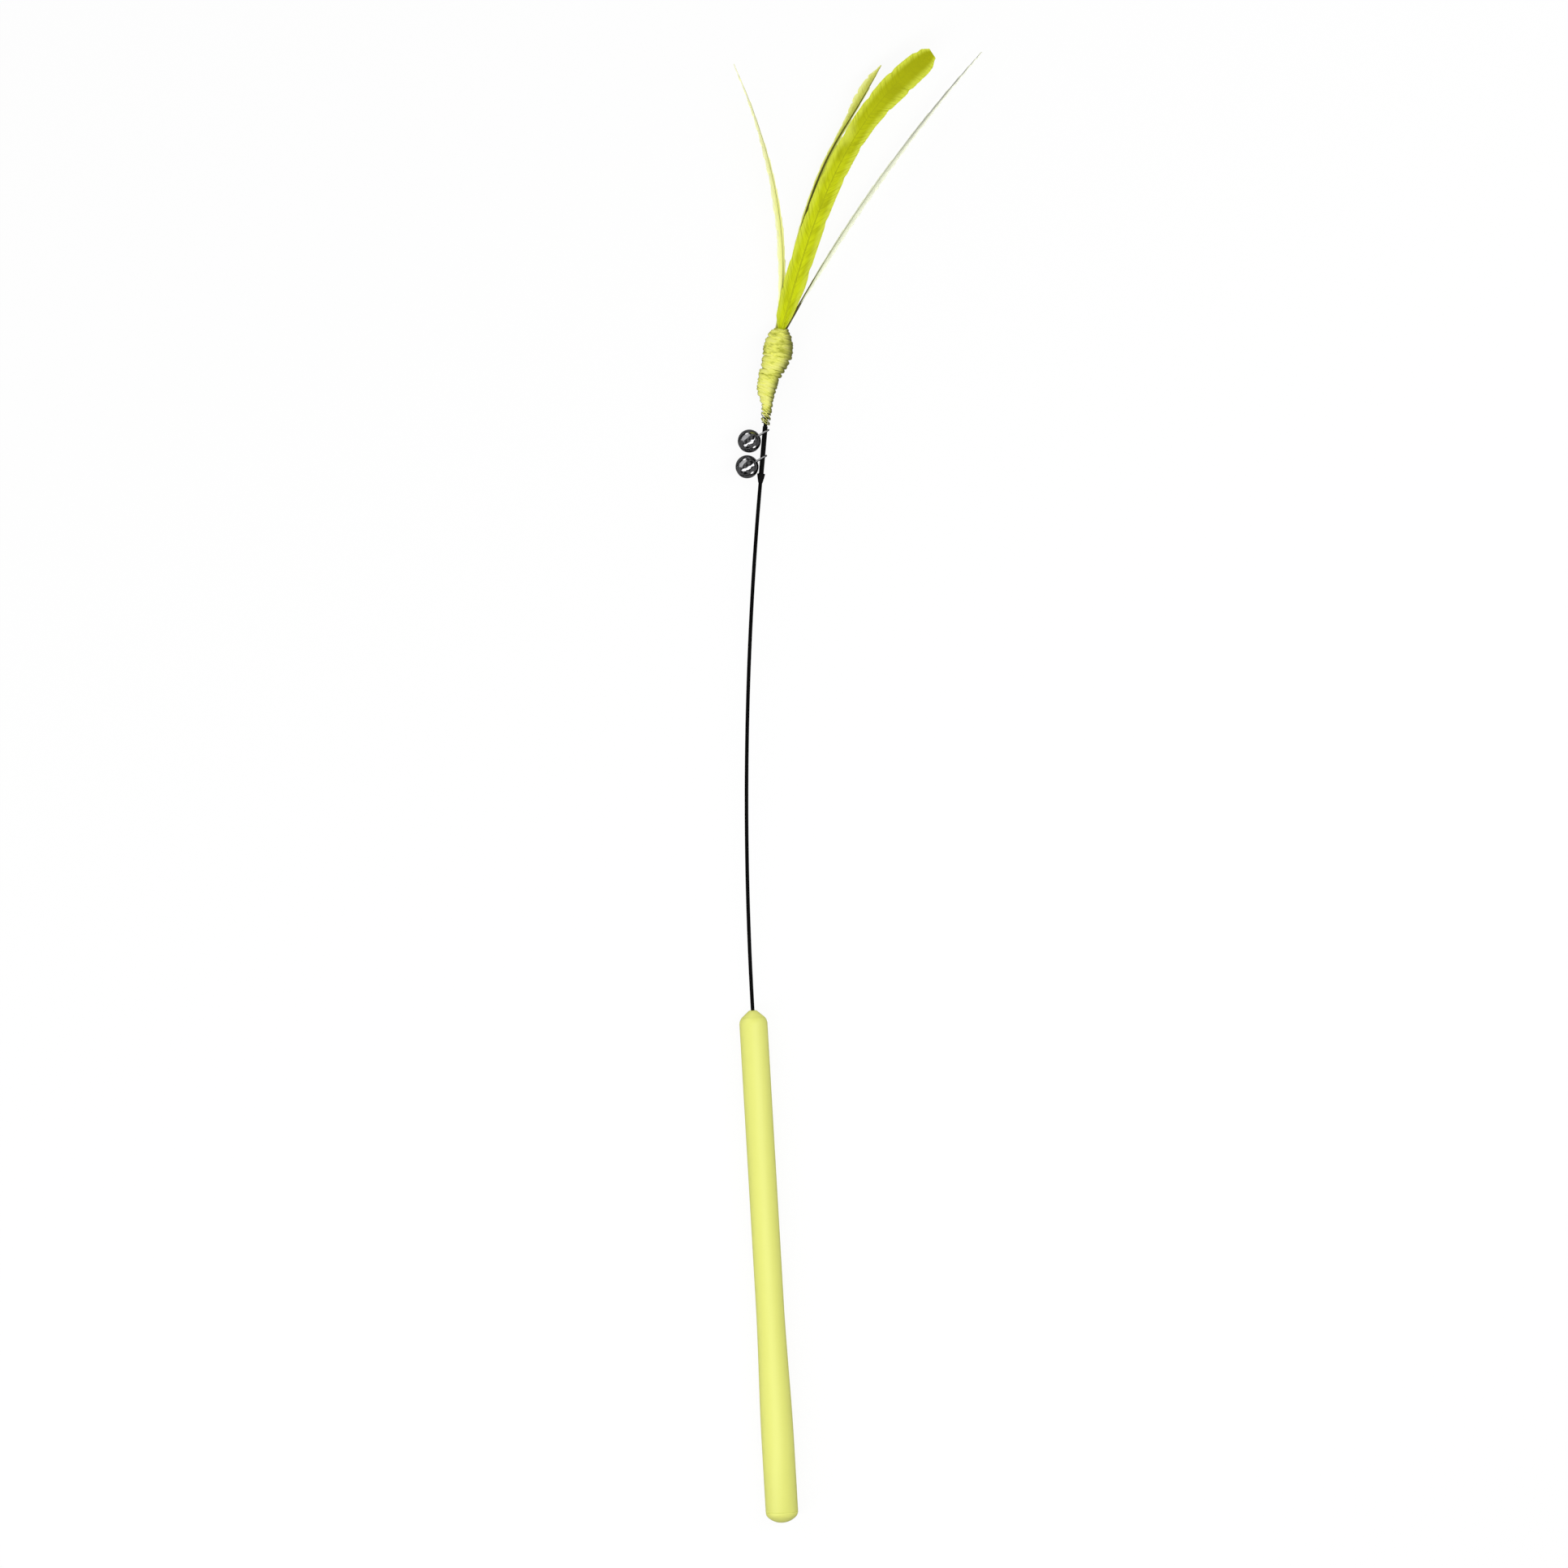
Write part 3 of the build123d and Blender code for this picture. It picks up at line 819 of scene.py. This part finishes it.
def make_sleeve(plastic):
    collar_top = sleeve_start + collar_length
    profile = [
        (wire_radius, sleeve_start),
        (wire_radius + sleeve_wall, sleeve_start),
        (collar_radius, collar_top - collar_lip),
        (collar_radius, collar_top),
        (sleeve_radius, collar_top),
        (sleeve_radius, sleeve_start + sleeve_length),
        (wire_radius, sleeve_start + sleeve_length),
    ]
    sleeve = new_piece("wire_sleeve", turn(profile, steps=48, edge=sleeve_edge), plastic, tip)
    stand_for(sleeve, "tip", "sleeve_plastic", "bell_sleeve")


# Bells

def bell_frame(bell):
    """The bell's own frame: its origin at the ball's centre and Z towards its loop."""
    low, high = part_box(bell + "_shell")
    centre = (low + high) / 2
    reach = centre - tip_start
    side = (reach - tip_axis * reach.dot(tip_axis)).normalized()
    axis = tip_axis * math.sin(bell_tilt) - side * math.cos(bell_tilt)
    across = tip_axis.cross(side)
    return Matrix.Translation(centre) @ Matrix((across, axis.cross(across), axis)).transposed().to_4x4()


def make_slit_cutter():
    """Two crossed slots that end in round holes, and the two holes for the loop's wire."""
    bm = bmesh.new()
    span = 2.5 * bell_radius
    for turn_angle in slit_angles:
        spun = Matrix.Rotation(math.radians(turn_angle), 4, "Z")
        drop = Matrix.Translation((0, 0, slit_rise - span / 2))
        bmesh.ops.create_cube(bm, size=1, matrix=spun @ drop @ Matrix.Diagonal((slit_width, span, span, 1)))
        lying = Matrix.Translation((0, 0, slit_rise)) @ Matrix.Rotation(math.radians(90), 4, "X")
        bmesh.ops.create_cone(
            bm, cap_ends=True, segments=24, radius1=slit_hole_radius, radius2=slit_hole_radius, depth=span,
            matrix=spun @ lying,
        )
    for side in (-1, 1):
        above = Matrix.Translation((side * loop_radius, 0, bell_radius))
        bmesh.ops.create_cone(
            bm, cap_ends=True, segments=20, radius1=loop_wire_radius, radius2=loop_wire_radius,
            depth=bell_radius, matrix=above,
        )
    return bm


def with_modifiers(carrier):
    """The carrier's mesh after its modifiers, as a new bmesh. The carrier is removed."""
    result = bmesh.new()
    result.from_object(carrier, bpy.context.evaluated_depsgraph_get())
    bpy.data.meshes.remove(carrier.data)
    return result


def cut_away(bm, cutter):
    """The first mesh less the second, as a new bmesh."""
    blank = new_object("blank", bm)
    tool = new_object("tool", cutter)
    cut = blank.modifiers.new("cut", "BOOLEAN")
    cut.object = tool
    cut.operation = "DIFFERENCE"
    cut.solver = "EXACT"
    cut.use_self = True
    result = with_modifiers(blank)
    bpy.data.meshes.remove(tool.data)
    return result


def thicken(bm, thickness):
    """The sheet as a closed skin of the given thickness."""
    sheet = new_object("sheet", bm)
    skin = sheet.modifiers.new("skin", "SOLIDIFY")
    skin.thickness = thickness
    skin.offset = 0
    skin.use_even_offset = False
    return with_modifiers(sheet)


def make_bell(bell, shell_finish, loop_finish):
    place = bell_frame(bell)
    bm = bmesh.new()
    rings = dict(u_segments=ball_segments, v_segments=ball_rings)
    bmesh.ops.create_uvsphere(bm, radius=bell_radius, **rings)
    inner = bmesh.ops.create_uvsphere(bm, radius=bell_radius - bell_wall, **rings)
    bmesh.ops.reverse_faces(bm, faces=list({f for v in inner["verts"] for f in v.link_faces}))
    bm = cut_away(bm, make_slit_cutter())
    round_edges(bm, slit_lip, sharp=50)
    ball = new_piece(bell + "_ball", bm, shell_finish, place)
    stand_for(ball, bell, "bell_metal", bell + "_shell")
    hanger = new_piece(bell + "_hanger", make_loop(), loop_finish, place)
    stand_for(hanger, bell, "bell_metal", bell + "_loop")


def make_loop():
    """A bent wire: a foot inside the ball, a leg up, half a turn over the sleeve, and the same down again."""
    bm = bmesh.new()
    inner = loop_radius - loop_foot_length
    bend = loop_radius - loop_foot_bend
    level = Vector((0, 1, 0))
    rise = Vector((0, 0, loop_height - loop_foot - loop_foot_bend))
    start = Matrix.Translation((-inner, 0, loop_foot)) @ Matrix.Rotation(math.radians(-90), 4, "Y")
    edges = start_tube(bm, loop_wire_radius, loop_sides, start)
    edges = run_straight(bm, edges, Vector((inner - bend, 0, 0)))
    corner = (-bend, 0, loop_foot + loop_foot_bend)
    edges = run_round(bm, edges, corner, level, math.radians(90), steps=6)
    edges = run_straight(bm, edges, rise)
    edges = run_round(bm, edges, (0, 0, loop_height), level, math.radians(180), steps=24)
    edges = run_straight(bm, edges, -rise)
    corner = (bend, 0, loop_foot + loop_foot_bend)
    edges = run_round(bm, edges, corner, level, math.radians(90), steps=6)
    run_straight(bm, edges, Vector((inner - bend, 0, 0)))
    close_tube(bm)
    return bm


# Yarn binding

def binding_radius(share):
    return between(binding_shares, share, 1) * binding_diameter / 2


def binding_centre(share):
    shift = between(binding_shares, share, 2) * binding_diameter
    return Vector((shift, binding_start + share * binding_length, 0))


def tail_part(share):
    """From 1 at the tail's end to 0 where the tail is over."""
    return max(0, 1 - share / tail_share)


def crown_part(share):
    """From 0 where the binding's rounded top starts to 1 at its end."""
    return max(0, (share - crown_share) / (1 - crown_share))


def wound_radius(share):
    """Radius of the yarn's outer face: thinner at the tail, rounded off at the top."""
    narrowed = 1 - tail_taper * tail_part(share)
    return binding_radius(share) * narrowed * (1 - crown_drop * crown_part(share) ** 2)


def drift(turned, span, seed, row):
    """Soft noise along a strand, from -1 to 1, which changes over a span of turns."""
    return noise.noise(Vector((turned / span, seed, row)))


def strand_path(turns, way, phase, seed, rise, end_share=1, thickness=strand_radius):
    """Places and radii along one strand. Its turns tilt, wander and swell, and get thin in the tail."""
    points = []
    radii = []
    count = turns * steps_per_turn
    for i in range(count + 1):
        part = i / count
        turned = turns * part
        share = end_share * part
        angle = phase + way * 2 * math.pi * turned
        loose = tail_part(share)
        steady = 1 - crown_part(share)
        wander = drift(turned, wander_turns, seed, row=0)
        swell = drift(turned, swell_turns, seed, row=5)
        lean = drift(turned, lean_turns, seed, row=9)
        thin = (1 + swell_share * swell) * (1 - tail_thinning * min(1, tail_thinning_speed * loose))
        tilt = (turn_tilt + tilt_change * lean) * steady
        shift = wander_reach * wander * (1 - tail_steadiness * loose) * steady
        along = min(1, max(0, share + (shift - tilt * math.cos(angle)) / binding_length))
        radius = wound_radius(along) - thickness * thin + rise + swell_rise * swell
        out = Vector((math.cos(angle), 0, math.sin(angle)))
        points.append(binding_centre(along) + out * radius)
        radii.append(thin)
    return points, radii, thickness


def lay_strands(bm, strands, finish):
    """Adds strands to a mesh, in the finish with the given place in the piece's list."""
    for points, radii, thickness in strands:
        count = len(bm.faces)
        mesh = tube_mesh(points, radii, thickness)
        bm.from_mesh(mesh)
        bpy.data.meshes.remove(mesh)
        bm.faces.ensure_lookup_table()
        for face in bm.faces[count:]:
            face.material_index = finish


def paint_flank_shade(bm):
    """Notes the painted shade at each point: how far round the binding it lies, from 0 on its unshaded side
    to 2 on the other side. The tail counts as further round, so it gets more painted shade."""
    flank_shade = bm.verts.layers.float.new("flank_shade")
    unshaded_side = Vector((-math.sin(unshaded_side_lean), 0, math.cos(unshaded_side_lean)))
    for vert in bm.verts:
        share = min(1, max(0, (vert.co.y - binding_start) / binding_length))
        out = vert.co - binding_centre(share)
        out.y = 0
        vert[flank_shade] = 1 - out.normalized().dot(unshaded_side) + tail_shade * tail_part(share)


def make_binding(yarn):
    """A strand, a deeper one beside it, thinner turns that cross them, and loose turns in the tail."""
    strands = [
        strand_path(yarn_turns, way=1, phase=0, seed=3, rise=0),
        strand_path(yarn_turns, way=1, phase=math.pi, seed=8, rise=-deep_strand_sink),
        strand_path(
            crossing_turns, way=-1, phase=0.6, seed=21, rise=crossing_strand_rise,
            thickness=crossing_strand_radius,
        ),
        strand_path(
            tail_turns, way=-1, phase=12, seed=12, rise=-tail_strand_sink, end_share=tail_strand_share,
            thickness=tail_strand_radius,
        ),
    ]
    bm = bmesh.new()
    lay_strands(bm, strands, 0)
    paint_flank_shade(bm)
    binding = new_piece("wound_yarn", bm, yarn, tip)
    stand_for(binding, "tip", "binding_yarn", "binding_thread")


def make_yarn_core(core_shade_yarn):
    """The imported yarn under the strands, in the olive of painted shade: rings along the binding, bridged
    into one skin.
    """
    bm = bmesh.new()
    edges = None
    for i in range(core_steps + 1):
        share = tail_share + (1 - tail_share) * i / core_steps
        place = Matrix.Translation(binding_centre(share)) @ facing_y
        ring = start_tube(bm, wound_radius(share) - yarn_depth, core_sides, place)
        if edges:
            bmesh.ops.bridge_loops(bm, edges=edges + ring)
        edges = ring
    close_tube(bm)
    core = new_piece("yarn_core", bm, core_shade_yarn, tip)
    stand_for(core, "tip", "binding_yarn", "binding_core")


# Feathers

def heading(lean, rise):
    """The direction that leans sideways and rises by the given degrees."""
    lean = math.radians(lean)
    rise = math.radians(rise)
    return Vector((math.cos(rise) * math.sin(lean), math.cos(rise) * math.cos(lean), math.sin(rise)))


def feather_line(feather):
    """Places, directions and crosswise directions along the vane, from the quill to the tip."""
    top = binding_centre(1) + Vector((feather["place"][0], 0, feather["place"][1])) * core_top_radius
    leans, rises, rolls = feather["leans"], feather["rises"], feather["rolls"]
    start_way = heading(leans[0], rises[0])
    step = (feather["length"] - feather["bare"]) / feather_steps
    point = top + start_way * feather["bare"]
    line = []
    for i in range(feather_steps + 1):
        share = i / feather_steps
        way = heading(
            leans[0] + (leans[1] - leans[0]) * share ** feather["power"] + between(feather["sway"], share),
            rises[0] + (rises[1] - rises[0]) * share,
        )
        roll = math.radians(rolls[0] + (rolls[1] - rolls[0]) * share)
        level = way.cross(Vector((0, 0, 1))).normalized()
        across = level * math.cos(roll) + way.cross(level) * math.sin(roll)
        line.append((point, way, across))
        point = point + way * step
    return top, start_way, line


def along_line(line, share, step):
    """The place, direction and crosswise direction at a share of the vane, which may lie below its root."""
    if share < 0:
        point, way, across = line[0]
        return point + way * (share * feather_steps * step), way, across
    place = min(share, 1) * feather_steps
    low = min(int(place), feather_steps - 1)
    part = place - low
    return [a.lerp(b, part) for a, b in zip(line[low], line[low + 1])]


def clump_rows(rows, barb_count, draw):
    """For each row, how far it is through its clump of barbs, from 0 to 1, and the clump's own lift."""
    marks = []
    while len(marks) <= rows:
        size = 2 * draw.randint(barb_count[0], barb_count[1])
        lift = draw.uniform(-1, 1)
        marks += [(i / (size - 1), lift) for i in range(size)]
    return marks


def vane_side(bm, feather, line, side, draw):
    """One half of the vane: a sheet pleated into barbs that sweep forward and hold together in clumps."""
    vane_length = feather["length"] - feather["bare"]
    step = vane_length / feather_steps
    root_low = -feather["sink"] / vane_length
    rows = 2 * int((1 - root_low) * vane_length / barb_spacing)
    uv_layer = bm.loops.layers.uv.get("UVMap") or bm.loops.layers.uv.new("UVMap")
    before = set(bm.verts)
    bmesh.ops.create_grid(bm, x_segments=vane_columns, y_segments=rows, size=1)
    verts = [v for v in bm.verts if v not in before]
    fringe = [draw.uniform(0, 1) for _ in range(rows + 1)]
    clumps = clump_rows(rows, feather["clump"], draw)
    shares = {}
    for vert in verts:
        column = round((vert.co.x + 1) / 2 * vane_columns)
        row = round((vert.co.y + 1) / 2 * rows)
        shares[vert] = (column / vane_columns, root_low + (1 - root_low) * row / rows, row)
    for vert, (out, root, row) in shares.items():
        part, clump_lift = clumps[row]
        end = math.exp(-(part / clump_end) ** 2) + math.exp(-((1 - part) / clump_end) ** 2)
        sweep = feather["sweep"] * feather["width"] / vane_length * (1 - max(root, 0)) ** sweep_fade
        share = min(1, root + sweep * out ** barb_curve)
        point, way, across = along_line(line, share, step)
        half = feather["width"] / 2 * between(feather["vane"], max(share, 0))
        half *= between(feather["halves"][side], max(share, 0))
        trim = 1 - feather["fringe"] * fringe[row] * (row % 2) - feather["notch"] * end * out ** 3
        normal = across.cross(way).normalized()
        lift = feather["cup"] * half * out ** 2
        lift += (barb_ridge if row % 2 else -barb_ridge) * min(1, out / ridge_start) / 2
        lift += feather["overlap"] * (part - 0.5 + clump_tilt * clump_lift) * out ** 2
        vert.co = point + across * (side * half * out * trim) + normal * lift
    for face in {f for v in verts for f in v.link_faces}:
        for loop in face.loops:
            out, root, _ = shares[loop.vert]
            loop[uv_layer].uv = (0.5 + side * out / 2, root)


def make_feather(name, node, slot, feather, vane_finish, shaft_finish):
    """Both halves of the vane as one thin skin, with the quill and its shaft along the middle."""
    draw = random.Random(name)
    top, start_way, line = feather_line(feather)
    bm = bmesh.new()
    for side in (-1, 1):
        vane_side(bm, feather, line, side, draw)
    bmesh.ops.remove_doubles(bm, verts=bm.verts, dist=vane_seam_gap)
    bmesh.ops.recalc_face_normals(bm, faces=bm.faces)
    bm = thicken(bm, vane_thickness)
    points = [top - start_way * quill_depth, top, *[place[0] for place in line]]
    radii = [1, 1]
    for i in range(feather_steps + 1):
        share = i / feather_steps
        radii.append(1 + (shaft_tip_radius / quill_radius - 1) * share ** feather["taper"])
    lay_strands(bm, [(points, radii, quill_radius)], 1)
    piece = new_piece(name, bm, vane_finish, tip)
    piece.data.materials.append(shaft_finish)
    stand_for(piece, "tip", slot, node)


def make_feathers():
    make_feather(
        "broad_feather", "feather_main", "feather_green", broad_feather,
        vane_material(
            "broad_vane", middle=(0.69, 0.77, 0.012), edge=(0.76, 0.83, 0.07), tip_tone=(0.44, 0.47, 0.006),
            streak=(0.40, 0.43, 0.006), streaks=0.7, glow=0.06, patch=(0.1, 0.605, 0.5),
            patch_tone=(0.82, 0.88, 0.14),
        ),
        shaft_material("broad_shaft", "feather_main", [(0, (0.60, 0.67, 0.012)), (1, (0.44, 0.48, 0.006))]),
    )
    make_feather(
        "slender_feather", "feather_pointed", "feather_yellow", slender_feather,
        vane_material(
            "slender_vane", middle=(0.70, 0.73, 0.10), edge=(0.90, 0.92, 0.34), tip_tone=(0.80, 0.82, 0.18),
            streak=(0.52, 0.52, 0.09), streaks=0.35, glow=0.2,
        ),
        # Its dark middle is partly the quill's own tone and partly painted shade along the vane beside it.
        shaft_material(
            "slender_shaft", "feather_pointed",
            [(0, (0.40, 0.40, 0.06)), (0.35, (0.22, 0.21, 0.06)), (0.6, (0.15, 0.145, 0.045)),
             (1, (0.25, 0.24, 0.07))],
        ),
    )
    make_feather(
        "left_feather", "feather_left", "feather_pale", left_feather,
        vane_material(
            "left_vane", middle=(0.92, 0.93, 0.34), edge=(0.96, 0.97, 0.55), tip_tone=(0.86, 0.86, 0.66),
            streak=(0.74, 0.76, 0.24), streaks=0.3, glow=0.22,
        ),
        shaft_material("left_shaft", "feather_left", [(0, (0.72, 0.73, 0.20)), (1, (0.50, 0.51, 0.26))]),
    )
    make_feather(
        "right_feather", "feather_right", "feather_grey", right_feather,
        vane_material(
            "right_vane", middle=(0.76, 0.79, 0.62), edge=(0.86, 0.88, 0.73), tip_tone=(0.40, 0.40, 0.39),
            streak=(0.54, 0.56, 0.43), streaks=0.35, glow=0.36,
        ),
        # The quill's dark first stretch is painted shade, where the feather's base lies in shadow.
        shaft_material(
            "right_shaft", "feather_right",
            [(0, (0.10, 0.09, 0.02)), (0.22, (0.16, 0.15, 0.05)), (0.34, (0.60, 0.62, 0.46)),
             (0.6, (0.70, 0.72, 0.60)), (0.9, (0.26, 0.26, 0.26))],
        ),
    )


# Table, light and camera

def seen_level(tree, to_camera, in_reflections, as_light):
    """A value for rays from the camera, another for reflections, and a third for light on the wand."""
    path = add_node(tree, "ShaderNodeLightPath")
    reflected = add_node(tree, "ShaderNodeMapRange", {"To Min": as_light})
    if isinstance(in_reflections, (int, float)):
        set_inputs(reflected, {"To Max": in_reflections})
    else:
        tree.links.new(in_reflections, reflected.inputs["To Max"])
    seen = add_node(tree, "ShaderNodeMix", {"B": to_camera}, data_type="FLOAT")
    join(
        tree,
        (path, "Is Glossy Ray", reflected, "Value"),
        (path, "Is Camera Ray", seen, "Factor"),
        (reflected, "Result", seen, "A"),
    )
    return seen.outputs["Result"]


def make_table():
    """A wide white floor. It glows for the camera, and takes only a faint shadow."""
    table_reach = 6
    bm = bmesh.new()
    bmesh.ops.create_grid(bm, x_segments=1, y_segments=1, size=table_reach)
    table = new_object("table", bm)
    table.data.transform(Matrix.Translation((0, 0, floor_height)))
    material = bpy.data.materials.new("white_table")
    material.use_nodes = True
    tree = material.node_tree
    tree.nodes.clear()
    matte = add_node(tree, "ShaderNodeBsdfDiffuse", {"Color": (0.6, 0.6, 0.6, 1)})
    white = add_node(tree, "ShaderNodeEmission", {"Color": (1, 1, 1, 1)})
    mix = add_node(tree, "ShaderNodeMixShader")
    output = add_node(tree, "ShaderNodeOutputMaterial")
    glow = seen_level(tree, to_camera=1.08, in_reflections=0.1, as_light=0)
    glow_share = seen_level(tree, to_camera=0.85, in_reflections=0.85, as_light=0)
    tree.links.new(glow, white.inputs["Strength"])
    tree.links.new(glow_share, mix.inputs["Fac"])
    join(
        tree,
        (matte, "BSDF", mix, 1),
        (white, "Emission", mix, 2),
        (mix, "Shader", output, "Surface"),
    )
    table.data.materials.append(material)


def studio_cards(tree):
    """Dark and light cards round the table, which show as patches on the bells."""
    way = add_node(tree, "ShaderNodeTexCoord")
    cards = add_node(tree, "ShaderNodeTexNoise", {"Scale": 2.2, "Detail": 1})
    levels = {"From Min": 0.4, "From Max": 0.62, "To Min": 0.01, "To Max": 0.26}
    level = add_node(tree, "ShaderNodeMapRange", levels, interpolation_type="SMOOTHSTEP")
    tree.links.new(way.outputs["Generated"], cards.inputs["Vector"])
    tree.links.new(cards.outputs["Fac"], level.inputs["Value"])
    return level.outputs["Result"]


def add_area_light(name, size, energy, place, aim):
    light = bpy.data.lights.new(name, "AREA")
    light.shape = "RECTANGLE"
    light.size, light.size_y = size
    light.energy = energy
    lamp = new_holder(name, light)
    lamp.location = place
    lamp.rotation_euler = aim


def make_light():
    """A white room, a long strip light above the wand and a broad fill light from beyond its left."""
    world = bpy.data.worlds.new("studio")
    world.use_nodes = True
    bpy.context.scene.world = world
    tree = world.node_tree
    background = tree.nodes["Background"]
    set_inputs(background, {"Color": (1, 1, 1, 1)})
    level = seen_level(tree, to_camera=1, in_reflections=studio_cards(tree), as_light=0.27)
    tree.links.new(level, background.inputs["Strength"])
    strip_turn = math.radians(28)
    add_area_light(
        "strip_light", size=(4.4, 0.3), energy=12.8, place=(0.06, 0.05, 0.7), aim=(0, 0, strip_turn)
    )
    fill_place = Vector((-0.9, 1.3, 0.6))
    fill_target = Vector((0, 0.25, 0))
    fill_aim = (fill_target - fill_place).to_track_quat("-Z", "Y").to_euler()
    add_area_light("fill_light", size=(2.6, 1.2), energy=9, place=fill_place, aim=fill_aim)


def make_camera():
    """Straight above the wand, turned so that the handle leans as it does in the picture."""
    image_width = 0.541
    centre = Vector((0.01534, 0.23856, 0))
    turn_angle = math.radians(-3.34)
    distance = 2.5
    camera = bpy.data.cameras.new("camera")
    camera.sensor_width = 36
    camera.lens = camera.sensor_width * distance / image_width
    camera.clip_end = 20
    stand = new_holder("camera", camera)
    stand.location = centre + Vector((0, 0, distance))
    stand.rotation_euler = (0, 0, turn_angle)
    bpy.context.scene.camera = stand


def finish_cad_nodes():
    """The pieces that stay as they are: the crimp in the handle and the slugs in the bells."""
    finishes = {"anchor_crimp": crimp_alloy()}
    steel = plain_steel()
    for bell in bells:
        finishes[bell + "_pellet"] = steel
    for node, finish in finishes.items():
        mesh = frame["nodes"][node].data
        mesh.materials.clear()
        mesh.materials.append(finish)


bpy.context.scene.view_settings.view_transform = "Standard"
make_camera()
make_table()
make_light()
plastic = lemon_plastic()
make_handle(plastic)
make_cap(plastic)
make_nose(plastic)
make_wire(black_enamel())
make_sleeve(black_sleeve())
shell_finish = dark_nickel()
loop_finish = loop_nickel()
for bell in bells:
    make_bell(bell, shell_finish, loop_finish)
make_binding(lemon_yarn())
make_yarn_core(shaded_core_yarn())
make_feathers()
finish_cad_nodes()
